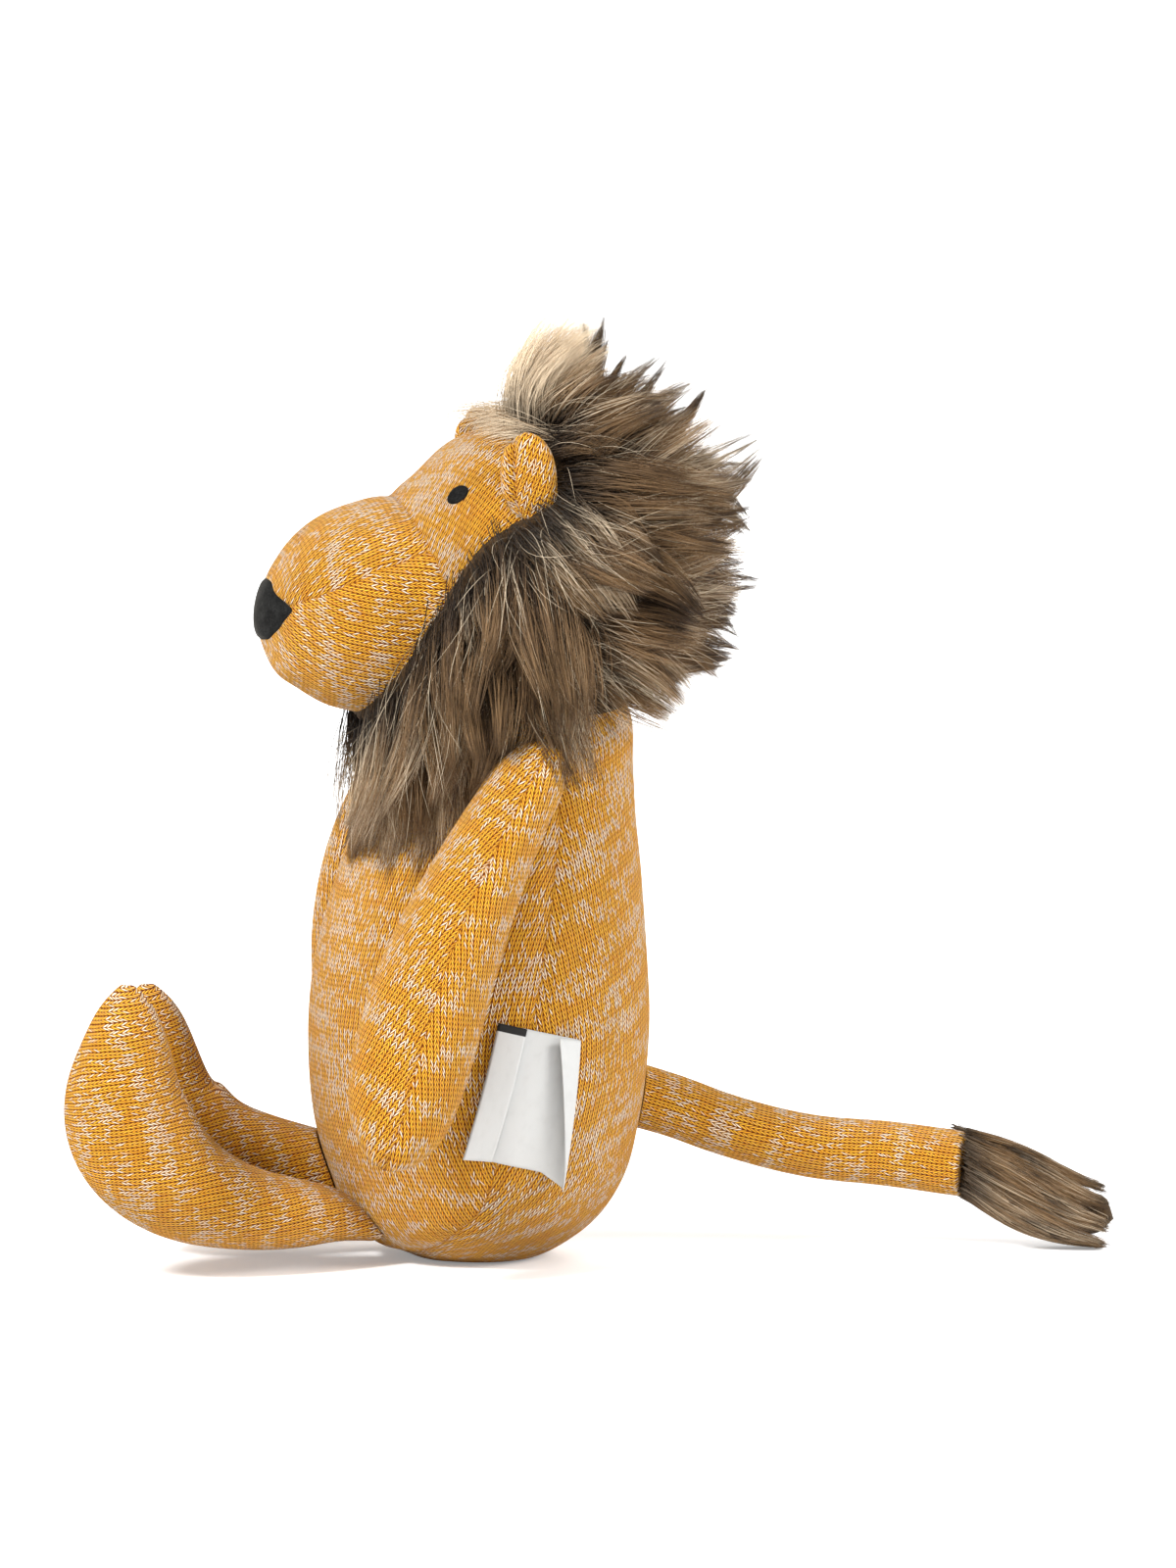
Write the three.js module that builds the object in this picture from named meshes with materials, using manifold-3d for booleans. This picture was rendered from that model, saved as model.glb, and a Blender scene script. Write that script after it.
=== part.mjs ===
// A knitted, stuffed lion that sits with its legs stretched out, modelled as its sewn pieces.
// Millimetres, +Z up. The lion faces -X, its left side is at -Y, and the origin is the centre of its flat base.
import * as THREE from 'three';
import { mergeVertices } from 'three/addons/utils/BufferGeometryUtils.js';
import Module from 'manifold-3d';

const wasm = await Module();
wasm.setup();

// Cloth and clearance
const knitWall = 1.5;
const seamGap = 0.3;

// Torso
const torsoHeight = 187;
const torsoDepth = 108;
const torsoWidth = 110;

// Head, measured from the tip of the muzzle back and from the chin up; the chin lies below the top of the torso
const muzzleReach = 68.5;
const headLength = 115;
const headHeight = 88;
const headWidth = 82;
const chinDrop = 21;
const chinHeight = torsoHeight - chinDrop;

// Felt pieces on the face
const feltThickness = 1;
const noseWidth = 30;
const noseHeight = 18;
const eyeAcross = 6.4;
const eyeRise = 70.5;
const eyeSetback = 55;
const eyeInset = 16.5;

// Ears
const earHeight = 33;
const earWidth = 17;
const earThickness = 10;
const earSetback = 77;
const earRise = 74;
const earInset = 5.5;
const earLeanAngle = 14;
const earTurnAngle = 24;
const earFoldAngle = 20;

// Fur: the hood round the head and the beard under the chin
const maneReach = 42;
const maneLength = 121;
const maneWidth = 122;
const maneHeight = 130;
const maneDrop = 14;
const hemRise = 5;
const maneHem = chinHeight + hemRise;
const faceLineFoot = 38;
const faceLineAngle = 29.5;
const beardHeight = 47;
const beardWidth = 50;
const beardDepth = 7;
const beardTaperAngle = 7;

// Arms, from the shoulder seam down
const armLength = 137;
const armWidth = 35;
const armThickness = 28;
const armBowDepth = 7;
const shoulderDrop = 24;
const shoulderSetback = 12.4;
const shoulderSpread = 45;
const armSplayAngle = 14;
const leftArmAngle = 22.5;
const rightArmAngle = 18;
const armForwardAngle = 50;
const armBackwardAngle = 20;

// Legs, from the hip seam to the toe
const legReach = 79.5;
const legRise = 80.5;
const legThickness = 40;
const legWidth = 34;
const hipHeight = 9;
const hipSpread = 24;
const hipEdge = 4.4;
const leftHipSetback = 33;
const rightHipSetback = 17;
const leftLegRaiseAngle = 0;
const rightLegRaiseAngle = -3;
const leftLegYawAngle = 4;
const rightLegYawAngle = -6;
const legLowerAngle = 45;
const legUpperAngle = 5;

// Tail
const tailLength = 103;
const tailDrop = 23;
const tailRadius = 10.1;
const tailRootHeight = 47.3;
const tailRootSetback = 51;
const tailBowWidth = 20;
const tailSwingAngle = 30;
const tuftLength = 43;
const tuftRadius = 13.4;
const tuftDrop = 17;
const tuftBowWidth = 8;

// Labels in the left side seam
const labelLength = 42;
const labelNarrow = 8;
const labelWide = 21;
const labelThickness = 0.5;
const labelTop = 77;
const labelSetback = 2;
const labelSlantAngle = 14;

// Head turn
const headTurnAngle = 20;
const neckSetback = 10;

// Edge of the blocks that cut the pieces, larger than the whole toy
const cutterSize = 400;

const knitRoughness = 0.95;
const labelRoughness = 0.6;

// Facet counts
const torsoSides = 24;
const headSides = 22;
const limbSides = 14;
const tailSides = 12;
const pinSides = 16;
const earSides = 14;
const earRings = 10;
const sweepStepAngle = 6;

const knitOrange = 0xe1a756;
const fillingWhite = 0xf1ede2;
const furBrown = 0x76603f;
const feltBlack = 0x141413;
const labelWhite = 0xf0f0ee;

const radians = THREE.MathUtils.degToRad;

// Rows of the torso: height, front, back and half width, as shares of height, depth, depth and width
const torsoShares = [
  [0, 0.167, 0.157, 0.182],
  [0.027, 0.306, 0.26, 0.282],
  [0.064, 0.38, 0.343, 0.355],
  [0.128, 0.425, 0.418, 0.418],
  [0.225, 0.472, 0.465, 0.473],
  [0.321, 0.494, 0.487, 0.5],
  [0.4, 0.496, 0.492, 0.495],
  [0.487, 0.488, 0.484, 0.473],
  [0.583, 0.475, 0.472, 0.432],
  [0.647, 0.449, 0.463, 0.405],
  [0.717, 0.375, 0.45, 0.373],
  [0.802, 0.306, 0.439, 0.336],
  [0.893, 0.231, 0.43, 0.291],
  [0.963, 0.139, 0.352, 0.218],
];
const torsoCrownShare = 0.11;

// Rows of the head: place along its length, underside, top and half width
const headShares = [
  [0.017, 0.25, 0.455, 0.11],
  [0.052, 0.16, 0.545, 0.195],
  [0.104, 0.11, 0.625, 0.256],
  [0.174, 0.055, 0.688, 0.305],
  [0.278, 0.02, 0.733, 0.348],
  [0.365, 0, 0.76, 0.378],
  [0.435, 0, 0.841, 0.415],
  [0.522, 0.011, 0.955, 0.463],
  [0.626, 0.034, 1, 0.5],
  [0.748, 0.068, 1, 0.5],
  [0.87, 0.159, 0.92, 0.415],
  [0.957, 0.284, 0.795, 0.28],
];
const armSeamShare = 0.5;
const muzzleTipShare = 0.352;
const headBackShare = 0.534;

// Seam across the brow and seam along the lip: place and height of a point, and the seam's slope in degrees
const browSeamShares = [0.33, 0.75];
const browSeamAngle = 22;
const lipSeamShares = [0, 0.385];
const lipSeamAngle = 23;
const noseHeightShare = 0.38;
const noseDepthShare = 0.25;
const headFullness = 2.2;
// Way that an eye faces: forwards, sideways and up
const eyeAimShares = [-0.35, 0.68, 0.66];

// Rows of the fur hood in the same order
const maneShares = [
  [0.032, 0.085, 0.34, 0.18],
  [0.097, 0.04, 0.49, 0.262],
  [0.194, 0.015, 0.677, 0.344],
  [0.306, 0, 0.815, 0.418],
  [0.435, 0, 0.915, 0.475],
  [0.565, 0, 0.985, 0.5],
  [0.694, 0.015, 0.992, 0.484],
  [0.806, 0.062, 0.946, 0.41],
  [0.903, 0.154, 0.831, 0.295],
  [0.968, 0.315, 0.677, 0.164],
];
const maneFrontShare = 0.185;
const maneBackShare = 0.508;

// Rows of an arm: place along it, half width and half thickness
const armShares = [
  [0.02, 0.16, 0.2],
  [0.08, 0.3, 0.34],
  [0.18, 0.345, 0.39],
  [0.34, 0.41, 0.44],
  [0.52, 0.475, 0.485],
  [0.68, 0.5, 0.5],
  [0.81, 0.47, 0.48],
  [0.91, 0.37, 0.4],
  [0.975, 0.19, 0.22],
];

// Rows of a leg: reach forward and rise of its middle, half thickness and half width
const legShares = [
  [0, 0, 0.053, 0.4],
  [0.17, 0.1, 0.227, 0.42],
  [0.34, 0.13, 0.292, 0.43],
  [0.58, 0.193, 0.383, 0.455],
  [0.868, 0.32, 0.493, 0.5],
  [1.025, 0.54, 0.505, 0.49],
  [1.008, 0.753, 0.371, 0.41],
  [0.994, 0.932, 0.215, 0.26],
];
const toeShares = [0.994, 1.008];

// Rows of the tail: place along it, drop, sideways bow and radius
const tailShares = [
  [-0.08, -0.1, 0, 0.98],
  [0.1, 0.16, 0, 0.95],
  [0.26, 0.44, 0.03, 0.94],
  [0.54, 0.78, 0.2, 0.96],
  [0.77, 0.88, 0.5, 0.99],
  [1, 1, 1, 1],
];
// Rows of the tail's tuft: place, drop and radius
const tuftShares = [
  [0.01, 0.06, 0.76],
  [0.2, 0.34, 0.95],
  [0.45, 0.62, 1],
  [0.7, 0.83, 0.78],
  [0.9, 0.97, 0.42],
];

// Side seam between the two torso panels: setback from the middle and height
const sideSeamShares = [
  [0.3, 1.1],
  [0.16, 0.72],
  [0.117, 0.583],
  [0.028, 0.364],
  [-0.074, 0.107],
  [-0.167, 0.043],
  [-0.3, -0.02],
];

// Outline of the nose, from its top corner round, as shares of its half width and its height
const noseShares = [
  [0, 0.5],
  [0.36, 0.47],
  [1, 0.03],
  [0.82, -0.3],
  [0.45, -0.47],
  [0, -0.5],
];
// Outline of the beard, from its middle at the top to its tip
const beardShares = [
  [0.5, 0],
  [0.46, 0.2],
  [0.36, 0.5],
  [0.22, 0.8],
  [0.08, 1],
];

function solidOf(geometry) {
  const bare = new THREE.BufferGeometry().setAttribute('position', geometry.getAttribute('position'));
  if (geometry.index) bare.setIndex(geometry.index);
  const merged = mergeVertices(bare);
  return new wasm.Manifold(new wasm.Mesh({
    numProp: 3,
    vertProperties: new Float32Array(merged.attributes.position.array),
    triVerts: new Uint32Array(merged.index.array),
  }));
}

function geometryOf(solid) {
  const { numProp, vertProperties, triVerts } = solid.getMesh();
  const count = vertProperties.length / numProp;
  const places = new Float32Array(3 * count);
  for (let i = 0; i < count; i += 1) {
    places.set(vertProperties.subarray(i * numProp, i * numProp + 3), 3 * i);
  }
  const geometry = new THREE.BufferGeometry();
  geometry.setAttribute('position', new THREE.BufferAttribute(places, 3));
  geometry.setIndex(new THREE.BufferAttribute(new Uint32Array(triVerts), 1));
  geometry.computeVertexNormals();
  return geometry;
}

// Skin over rings of points, closed by a point at each end, with its faces outwards.
function skinOf(rings, start, end) {
  const sides = rings[0].length;
  const points = [start, ...rings.flat(), end];
  const last = points.length - 1;
  const at = (row, side) => 1 + row * sides + (side % sides);
  const faces = [];
  for (let side = 0; side < sides; side += 1) {
    faces.push(0, at(0, side + 1), at(0, side));
    faces.push(last, at(rings.length - 1, side), at(rings.length - 1, side + 1));
    for (let row = 0; row + 1 < rings.length; row += 1) {
      faces.push(at(row, side), at(row, side + 1), at(row + 1, side + 1));
      faces.push(at(row, side), at(row + 1, side + 1), at(row + 1, side));
    }
  }
  let volume = 0;
  for (let i = 0; i < faces.length; i += 3) {
    const [a, b, c] = [points[faces[i]], points[faces[i + 1]], points[faces[i + 2]]];
    volume += a.dot(b.clone().cross(c));
  }
  if (volume < 0) faces.reverse();
  const geometry = new THREE.BufferGeometry().setFromPoints(points);
  geometry.setIndex(faces);
  return solidOf(geometry);
}

// Oval ring about a centre, in the plane of two unit directions.
function ringOf(centre, across, up, halfAcross, halfUp, sides, fullness = 2) {
  const ring = [];
  for (let side = 0; side < sides; side += 1) {
    const turn = (2 * Math.PI * (side + 0.5)) / sides;
    const cos = Math.sign(Math.cos(turn)) * Math.abs(Math.cos(turn)) ** (2 / fullness);
    const sin = Math.sign(Math.sin(turn)) * Math.abs(Math.sin(turn)) ** (2 / fullness);
    ring.push(centre.clone().addScaledVector(across, halfAcross * cos).addScaledVector(up, halfUp * sin));
  }
  return ring;
}

const alongX = new THREE.Vector3(1, 0, 0);
const alongY = new THREE.Vector3(0, 1, 0);
const alongZ = new THREE.Vector3(0, 0, 1);

// The torso drawn in by an inset, or grown by a negative one.
function torsoForm(inset) {
  const lift = Math.max(inset, 0);
  const squeeze = (torsoHeight - lift - inset) / torsoHeight;
  const rings = torsoShares.map(([height, front, back, side]) => {
    const middle = (torsoDepth * (back - front)) / 2;
    const centre = new THREE.Vector3(middle, 0, lift + torsoHeight * height * squeeze);
    const halfDepth = (torsoDepth * (back + front)) / 2 - inset;
    return ringOf(centre, alongX, alongY, halfDepth, torsoWidth * side - inset, torsoSides);
  });
  const crown = torsoDepth * torsoCrownShare;
  const base = rings[0][0].z;
  return skinOf(
    rings,
    new THREE.Vector3(0, 0, base),
    new THREE.Vector3(crown, 0, torsoHeight - inset),
  );
}

// A head-like form that runs back along X, drawn in by an inset.
function headForm(rows, size, tips, inset, sides, fullness) {
  const squeeze = (size.length - 2 * inset) / size.length;
  const placeAt = (share) => size.start + inset + size.length * share * squeeze;
  const rings = rows.map(([place, low, high, half]) => {
    const centre = new THREE.Vector3(placeAt(place), 0, size.foot + (size.height * (low + high)) / 2);
    const halfHeight = (size.height * (high - low)) / 2 - inset;
    return ringOf(centre, alongY, alongZ, size.width * half - inset, halfHeight, sides, fullness);
  });
  return skinOf(
    rings,
    new THREE.Vector3(placeAt(0), 0, size.foot + size.height * tips[0]),
    new THREE.Vector3(placeAt(1), 0, size.foot + size.height * tips[1]),
  );
}

const headSize = {
  start: -muzzleReach,
  length: headLength,
  width: headWidth,
  height: headHeight,
  foot: chinHeight,
};
const maneSize = {
  start: -maneReach,
  length: maneLength,
  width: maneWidth,
  height: maneHeight,
  foot: chinHeight - maneDrop,
};
const headTips = [muzzleTipShare, headBackShare];
const headOf = (inset) => headForm(headShares, headSize, headTips, inset, headSides, headFullness);

// A limb over rows that each hold a centre, two directions and two half sizes.
function limbForm(rows, start, end, inset, sides) {
  const kept = rows.filter((row) => Math.min(row.half, row.thick) > 2 * inset);
  const rings = kept.map((row) => ringOf(
    row.centre,
    row.across,
    row.up,
    row.half - inset,
    row.thick - inset,
    sides,
  ));
  const first = kept[0];
  const final = kept[kept.length - 1];
  const startGap = start.distanceTo(first.centre);
  const startPole = first.centre.clone();
  if (first === rows[0] && startGap > inset) startPole.lerp(start, 1 - inset / startGap);
  const endPole = end.clone().lerp(final.centre, Math.min(inset / end.distanceTo(final.centre), 1));
  return skinOf(rings, startPole, endPole);
}

// Cuts a moving piece clear of its neighbour at each step of its swing about an axis through a pivot.
function clearOfSwing(piece, neighbour, pivot, axis, low, high) {
  let cut = piece;
  const steps = Math.ceil((high - low) / sweepStepAngle);
  for (let step = 0; step <= steps; step += 1) {
    const angle = radians(low + ((high - low) * step) / steps);
    cut = cut.subtract(turned(neighbour, pivot, axis, -angle));
  }
  return low < 0 && high > 0 ? cut.subtract(neighbour) : cut;
}

function turned(solid, pivot, axis, angle) {
  const move = new THREE.Matrix4().makeTranslation(pivot)
    .multiply(new THREE.Matrix4().makeRotationAxis(axis, angle))
    .multiply(new THREE.Matrix4().makeTranslation(pivot.clone().negate()));
  return placed(solid, move);
}

function placed(solid, matrix) {
  return solidOf(geometryOf(solid).applyMatrix4(matrix));
}

// A block on one side of a plane, for splitting a cover along its seam.
function halfSpace(point, normal, gap) {
  const block = new THREE.BoxGeometry(cutterSize, cutterSize, cutterSize);
  const turn = new THREE.Quaternion().setFromUnitVectors(alongZ, normal.clone().normalize());
  const centre = point.clone().addScaledVector(normal.clone().normalize(), gap / 2 + cutterSize / 2);
  return solidOf(block.applyQuaternion(turn).translate(centre.x, centre.y, centre.z));
}

function extruded(shape, depth) {
  return new THREE.ExtrudeGeometry(shape, { depth, bevelEnabled: false, steps: 1, curveSegments: 1 });
}

const parts = new THREE.Group();

function addPiece(name, solid, color, roughness) {
  const material = new THREE.MeshStandardMaterial({ color, roughness, metalness: 0 });
  const mesh = new THREE.Mesh(geometryOf(solid), material);
  mesh.name = name;
  parts.add(mesh);
}

function addKnit(name, solid) {
  addPiece(name, solid, knitOrange, knitRoughness);
}

// Torso: front panel and back panel along the side seams, and the filling
const torsoWhole = torsoForm(0);
const torsoShell = torsoWhole.subtract(torsoForm(knitWall));
const torsoRoom = torsoForm(-seamGap);

function sideSeamCut(towardsFront) {
  const line = sideSeamShares.map(([setback, height]) => (
    new THREE.Vector2(torsoDepth * setback + (towardsFront * seamGap) / 2, torsoHeight * height)
  ));
  const shape = new THREE.Shape(line);
  const edge = -towardsFront * cutterSize;
  shape.lineTo(edge, line[line.length - 1].y);
  shape.lineTo(edge, line[0].y);
  shape.closePath();
  const block = extruded(shape, 2 * torsoWidth);
  return solidOf(block.rotateX(Math.PI / 2).translate(0, torsoWidth, 0));
}

addKnit('torso_front_panel', torsoShell.subtract(sideSeamCut(-1)));
addKnit('torso_back_panel', torsoShell.subtract(sideSeamCut(1)));
addPiece('torso_filling', torsoForm(knitWall + seamGap), fillingWhite, 1);

// Head: it turns on the neck seam, so it is cut clear of the torso through its whole turn
const neck = new THREE.Vector3(neckSetback, 0, torsoHeight);
const neckRoom = (piece) => clearOfSwing(piece, torsoRoom, neck, alongZ, -headTurnAngle, headTurnAngle);
const headWhole = headOf(0);
const headShell = neckRoom(headWhole.subtract(headOf(knitWall)));

const onFace = ([place, height]) => (
  new THREE.Vector3(headLength * place - muzzleReach, 0, chinHeight + headHeight * height)
);
const leaning = (degrees) => new THREE.Vector3(Math.cos(radians(degrees)), 0, Math.sin(radians(degrees)));
const browSeam = onFace(browSeamShares);
const backwards = leaning(browSeamAngle);
const forwards = backwards.clone().negate();
const lipSeam = onFace(lipSeamShares);
const upwards = leaning(lipSeamAngle).cross(alongY);
const downwards = upwards.clone().negate();
const muzzleShell = headShell.intersect(halfSpace(browSeam, forwards, seamGap));
addKnit('head_panel', headShell.intersect(halfSpace(browSeam, backwards, seamGap)));
addKnit('muzzle_top_panel', muzzleShell.intersect(halfSpace(lipSeam, upwards, seamGap)));
addKnit('muzzle_lower_panel', muzzleShell.intersect(halfSpace(lipSeam, downwards, seamGap)));
addPiece('head_filling', neckRoom(headOf(knitWall + seamGap)), fillingWhite, 1);

// Felt pieces: a skin just outside the knit, kept only inside an outline that is pushed through it
const feltSkin = headOf(-seamGap - feltThickness).subtract(headOf(-seamGap));

const noseShape = new THREE.Shape([
  ...noseShares.map(([side, rise]) => new THREE.Vector2((noseWidth / 2) * side, noseHeight * rise)),
  ...noseShares.slice(1, -1).reverse().map(([side, rise]) => (
    new THREE.Vector2((-noseWidth / 2) * side, noseHeight * rise)
  )),
]);
const noseDepth = headLength * noseDepthShare;
const noseBlock = extruded(noseShape, noseDepth)
  .rotateX(Math.PI / 2)
  .rotateZ(-Math.PI / 2)
  .translate(noseDepth / 2 - muzzleReach, 0, chinHeight + headHeight * noseHeightShare);
addPiece('nose_patch', feltSkin.intersect(solidOf(noseBlock)), feltBlack, 1);

for (const [name, side] of [['eye_left', -1], ['eye_right', 1]]) {
  const pin = new THREE.CylinderGeometry(eyeAcross / 2, eyeAcross / 2, 3 * eyeAcross, pinSides);
  const outwards = new THREE.Vector3(eyeAimShares[0], side * eyeAimShares[1], eyeAimShares[2]).normalize();
  pin.applyQuaternion(new THREE.Quaternion().setFromUnitVectors(alongY, outwards));
  pin.translate(eyeSetback - muzzleReach, side * (headWidth / 2 - eyeInset), chinHeight + eyeRise);
  addPiece(name, feltSkin.intersect(solidOf(pin)), feltBlack, 1);
}

// Ears: padded knit ovals that stand off the head and fold forward
function earMatrix(side) {
  return new THREE.Matrix4()
    .makeTranslation(earSetback - muzzleReach, side * (headWidth / 2 - earInset), chinHeight + earRise)
    .multiply(new THREE.Matrix4().makeRotationZ(radians(side * earTurnAngle)))
    .multiply(new THREE.Matrix4().makeRotationX(radians(-side * earLeanAngle)));
}

function earForm(side, growth) {
  const oval = new THREE.SphereGeometry(1, earSides, earRings);
  oval.scale(...[earWidth, earThickness, earHeight].map((size) => size / 2 + growth));
  return solidOf(oval.applyMatrix4(earMatrix(side)));
}

for (const [name, side] of [['ear_left', -1], ['ear_right', 1]]) {
  addKnit(name, earForm(side, 0).subtract(headOf(-seamGap)));
}

// Mane: a fur hood behind the sloping line of the face, open below for the neck
const hemBlock = halfSpace(new THREE.Vector3(0, 0, maneHem), alongZ, 0);
const faceLine = new THREE.Vector3(
  Math.cos(radians(faceLineAngle)),
  0,
  -Math.sin(radians(faceLineAngle)),
);
const faceBlock = halfSpace(new THREE.Vector3(-faceLineFoot, 0, chinHeight), faceLine, 0);
let mane = headForm(maneShares, maneSize, [maneFrontShare, maneBackShare], 0, headSides, 2)
  .intersect(hemBlock)
  .intersect(faceBlock);
mane = neckRoom(mane.subtract(headOf(-seamGap)));
// Each ear folds out on its front edge, and the fur leaves room for that
for (const side of [-1, 1]) {
  const edge = new THREE.Vector3(-earWidth / 2, 0, 0).applyMatrix4(earMatrix(side));
  const along = new THREE.Vector3(0, 0, side).transformDirection(earMatrix(side));
  for (const fold of [0, earFoldAngle / 2, earFoldAngle]) {
    mane = mane.subtract(turned(earForm(side, 2 * seamGap), edge, along, radians(fold)));
  }
}
addPiece('mane', mane, furBrown, 1);

// Beard: fur that hangs from the chin over the chest and narrows to its tip
const beardHalf = beardShares.map(([side, drop]) => (
  new THREE.Vector2(beardWidth * side, maneHem - seamGap - beardHeight * drop)
));
const beardShape = new THREE.Shape([
  ...beardHalf,
  ...beardHalf.map((point) => new THREE.Vector2(-point.x, point.y)).reverse(),
]);
const beardBlock = extruded(beardShape, torsoDepth).rotateX(Math.PI / 2).rotateZ(-Math.PI / 2);
const beardRoot = new THREE.Vector3(0, 0, maneHem);
const beardSkin = turned(torsoForm(-seamGap - beardDepth), beardRoot, alongY, -radians(beardTaperAngle));
const beardFur = beardSkin.intersect(solidOf(beardBlock)).subtract(headOf(-seamGap));
addPiece('beard', neckRoom(beardFur), furBrown, 1);

// Arms: two panels that meet down the middle of the outer side, and the filling
function armRows(matrix) {
  const across = alongX.clone().transformDirection(matrix);
  const up = alongY.clone().transformDirection(matrix);
  return armShares.map(([place, half, thick]) => ({
    centre: armSpine(place).applyMatrix4(matrix),
    across,
    up,
    half: armWidth * half,
    thick: armThickness * thick,
  }));
}

// The arm hangs down and bows forward by a sine over its length.
function armSpine(share) {
  return new THREE.Vector3(-armBowDepth * Math.sin(Math.PI * share), 0, -armLength * share);
}

function armMatrix(side, lean) {
  return new THREE.Matrix4()
    .makeTranslation(shoulderSetback, side * shoulderSpread, torsoHeight - shoulderDrop)
    .multiply(new THREE.Matrix4().makeRotationX(radians(side * armSplayAngle)))
    .multiply(new THREE.Matrix4().makeRotationY(radians(lean)));
}

// Labels: two blank cloth tapes that lie on the torso, one in front of the left side seam and one behind it
const labelRoom = torsoForm(-2 * seamGap - labelThickness);
const labelSkin = torsoForm(-seamGap - labelThickness).subtract(torsoRoom);

function labelBlock(width, towards, margin) {
  const tape = new THREE.BoxGeometry(width + 2 * margin, torsoWidth, labelLength + 2 * margin);
  tape.translate(towards * (width / 2 + seamGap), -torsoWidth / 2, -labelLength / 2);
  return solidOf(tape.rotateY(radians(labelSlantAngle)).translate(labelSetback, 0, labelTop));
}

const labelTapes = [['label_narrow', labelNarrow, -1], ['label_wide', labelWide, 1]];
for (const [name, width, towards] of labelTapes) {
  addPiece(name, labelSkin.intersect(labelBlock(width, towards, 0)), labelWhite, labelRoughness);
}
const armRoom = labelTapes.reduce(
  (room, [, width, towards]) => room.add(labelRoom.intersect(labelBlock(width, towards, seamGap))),
  torsoRoom,
);

for (const [name, side, lean] of [['arm_left', -1, leftArmAngle], ['arm_right', 1, rightArmAngle]]) {
  const matrix = armMatrix(side, lean);
  const rows = armRows(matrix);
  const pivot = new THREE.Vector3(0, 0, 0).applyMatrix4(matrix);
  const hinge = alongY.clone().transformDirection(matrix);
  const front = alongX.clone().transformDirection(matrix).negate();
  const seam = armSpine(armSeamShare).applyMatrix4(matrix);
  const formOf = (inset) => limbForm(rows, pivot, armSpine(1).applyMatrix4(matrix), inset, limbSides);
  const roomFor = (piece) => clearOfSwing(piece, armRoom, pivot, hinge, -armBackwardAngle, armForwardAngle);
  const shell = roomFor(formOf(0).subtract(formOf(knitWall)));
  addKnit(`${name}_front_panel`, shell.intersect(halfSpace(seam, front, seamGap)));
  addKnit(`${name}_back_panel`, shell.intersect(halfSpace(seam, front.negate(), seamGap)));
  addPiece(`${name}_filling`, roomFor(formOf(knitWall + seamGap)), fillingWhite, 1);
}

// Legs: an outer and an inner panel, and the filling; the hip end is sewn flat
function legRows(matrix) {
  const middles = legShares.map(([reach, rise]) => new THREE.Vector3(-legReach * reach, 0, legRise * rise));
  return legShares.map(([, , thick, half], i) => {
    const ahead = middles[Math.min(i + 1, middles.length - 1)];
    const along = ahead.clone().sub(middles[Math.max(i - 1, 0)]).normalize();
    const up = new THREE.Vector3().crossVectors(along, alongY).transformDirection(matrix);
    const across = alongY.clone().transformDirection(matrix);
    return {
      centre: middles[i].clone().applyMatrix4(matrix),
      across,
      up,
      half: legWidth * half,
      thick: Math.max(legThickness * thick, hipEdge / 2),
    };
  });
}

for (const [name, side, setback, raise, yaw] of [
  ['leg_left', -1, leftHipSetback, leftLegRaiseAngle, leftLegYawAngle],
  ['leg_right', 1, rightHipSetback, rightLegRaiseAngle, rightLegYawAngle],
]) {
  const matrix = new THREE.Matrix4()
    .makeTranslation(-setback, side * hipSpread, hipHeight)
    .multiply(new THREE.Matrix4().makeRotationZ(radians(-side * yaw)))
    .multiply(new THREE.Matrix4().makeRotationY(radians(raise)));
  const rows = legRows(matrix);
  const pivot = new THREE.Vector3(0, 0, 0).applyMatrix4(matrix);
  const toe = new THREE.Vector3(-legReach * toeShares[0], 0, legRise * toeShares[1]).applyMatrix4(matrix);
  const outwards = alongY.clone().transformDirection(matrix).multiplyScalar(side);
  const formOf = (inset) => limbForm(rows, pivot, toe, inset, limbSides);
  const roomFor = (piece) => clearOfSwing(piece, torsoRoom, pivot, alongY, -legLowerAngle, legUpperAngle);
  const shell = roomFor(formOf(0).subtract(formOf(knitWall)));
  addKnit(`${name}_outer_panel`, shell.intersect(halfSpace(pivot, outwards, seamGap)));
  addKnit(`${name}_inner_panel`, shell.intersect(halfSpace(pivot, outwards.negate(), seamGap)));
  addPiece(`${name}_filling`, roomFor(formOf(knitWall + seamGap)), fillingWhite, 1);
}

// Tail: a stuffed tube, open where the tuft is sewn over its end
const tailRows = tailShares.map(([place, drop, bow, radius]) => ({
  centre: new THREE.Vector3(
    tailRootSetback + tailLength * place,
    -tailBowWidth * bow,
    tailRootHeight - tailDrop * drop,
  ),
  radius: tailRadius * radius,
}));

function tailForm(inset, openEnd) {
  const rings = tailRows.map((row, i) => {
    const ahead = tailRows[Math.min(i + 1, tailRows.length - 1)].centre;
    const along = ahead.clone().sub(tailRows[Math.max(i - 1, 0)].centre).normalize();
    const up = new THREE.Vector3().crossVectors(along, alongY).normalize();
    const across = new THREE.Vector3().crossVectors(up, along);
    const centre = row.centre.clone();
    if (i === tailRows.length - 1) centre.addScaledVector(along, openEnd);
    return ringOf(centre, across, up, row.radius - inset, row.radius - inset, tailSides);
  });
  const middleOf = (ring) => ring.reduce((sum, point) => sum.add(point), new THREE.Vector3())
    .divideScalar(ring.length);
  return skinOf(rings, middleOf(rings[0]), middleOf(rings[rings.length - 1]));
}

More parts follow.
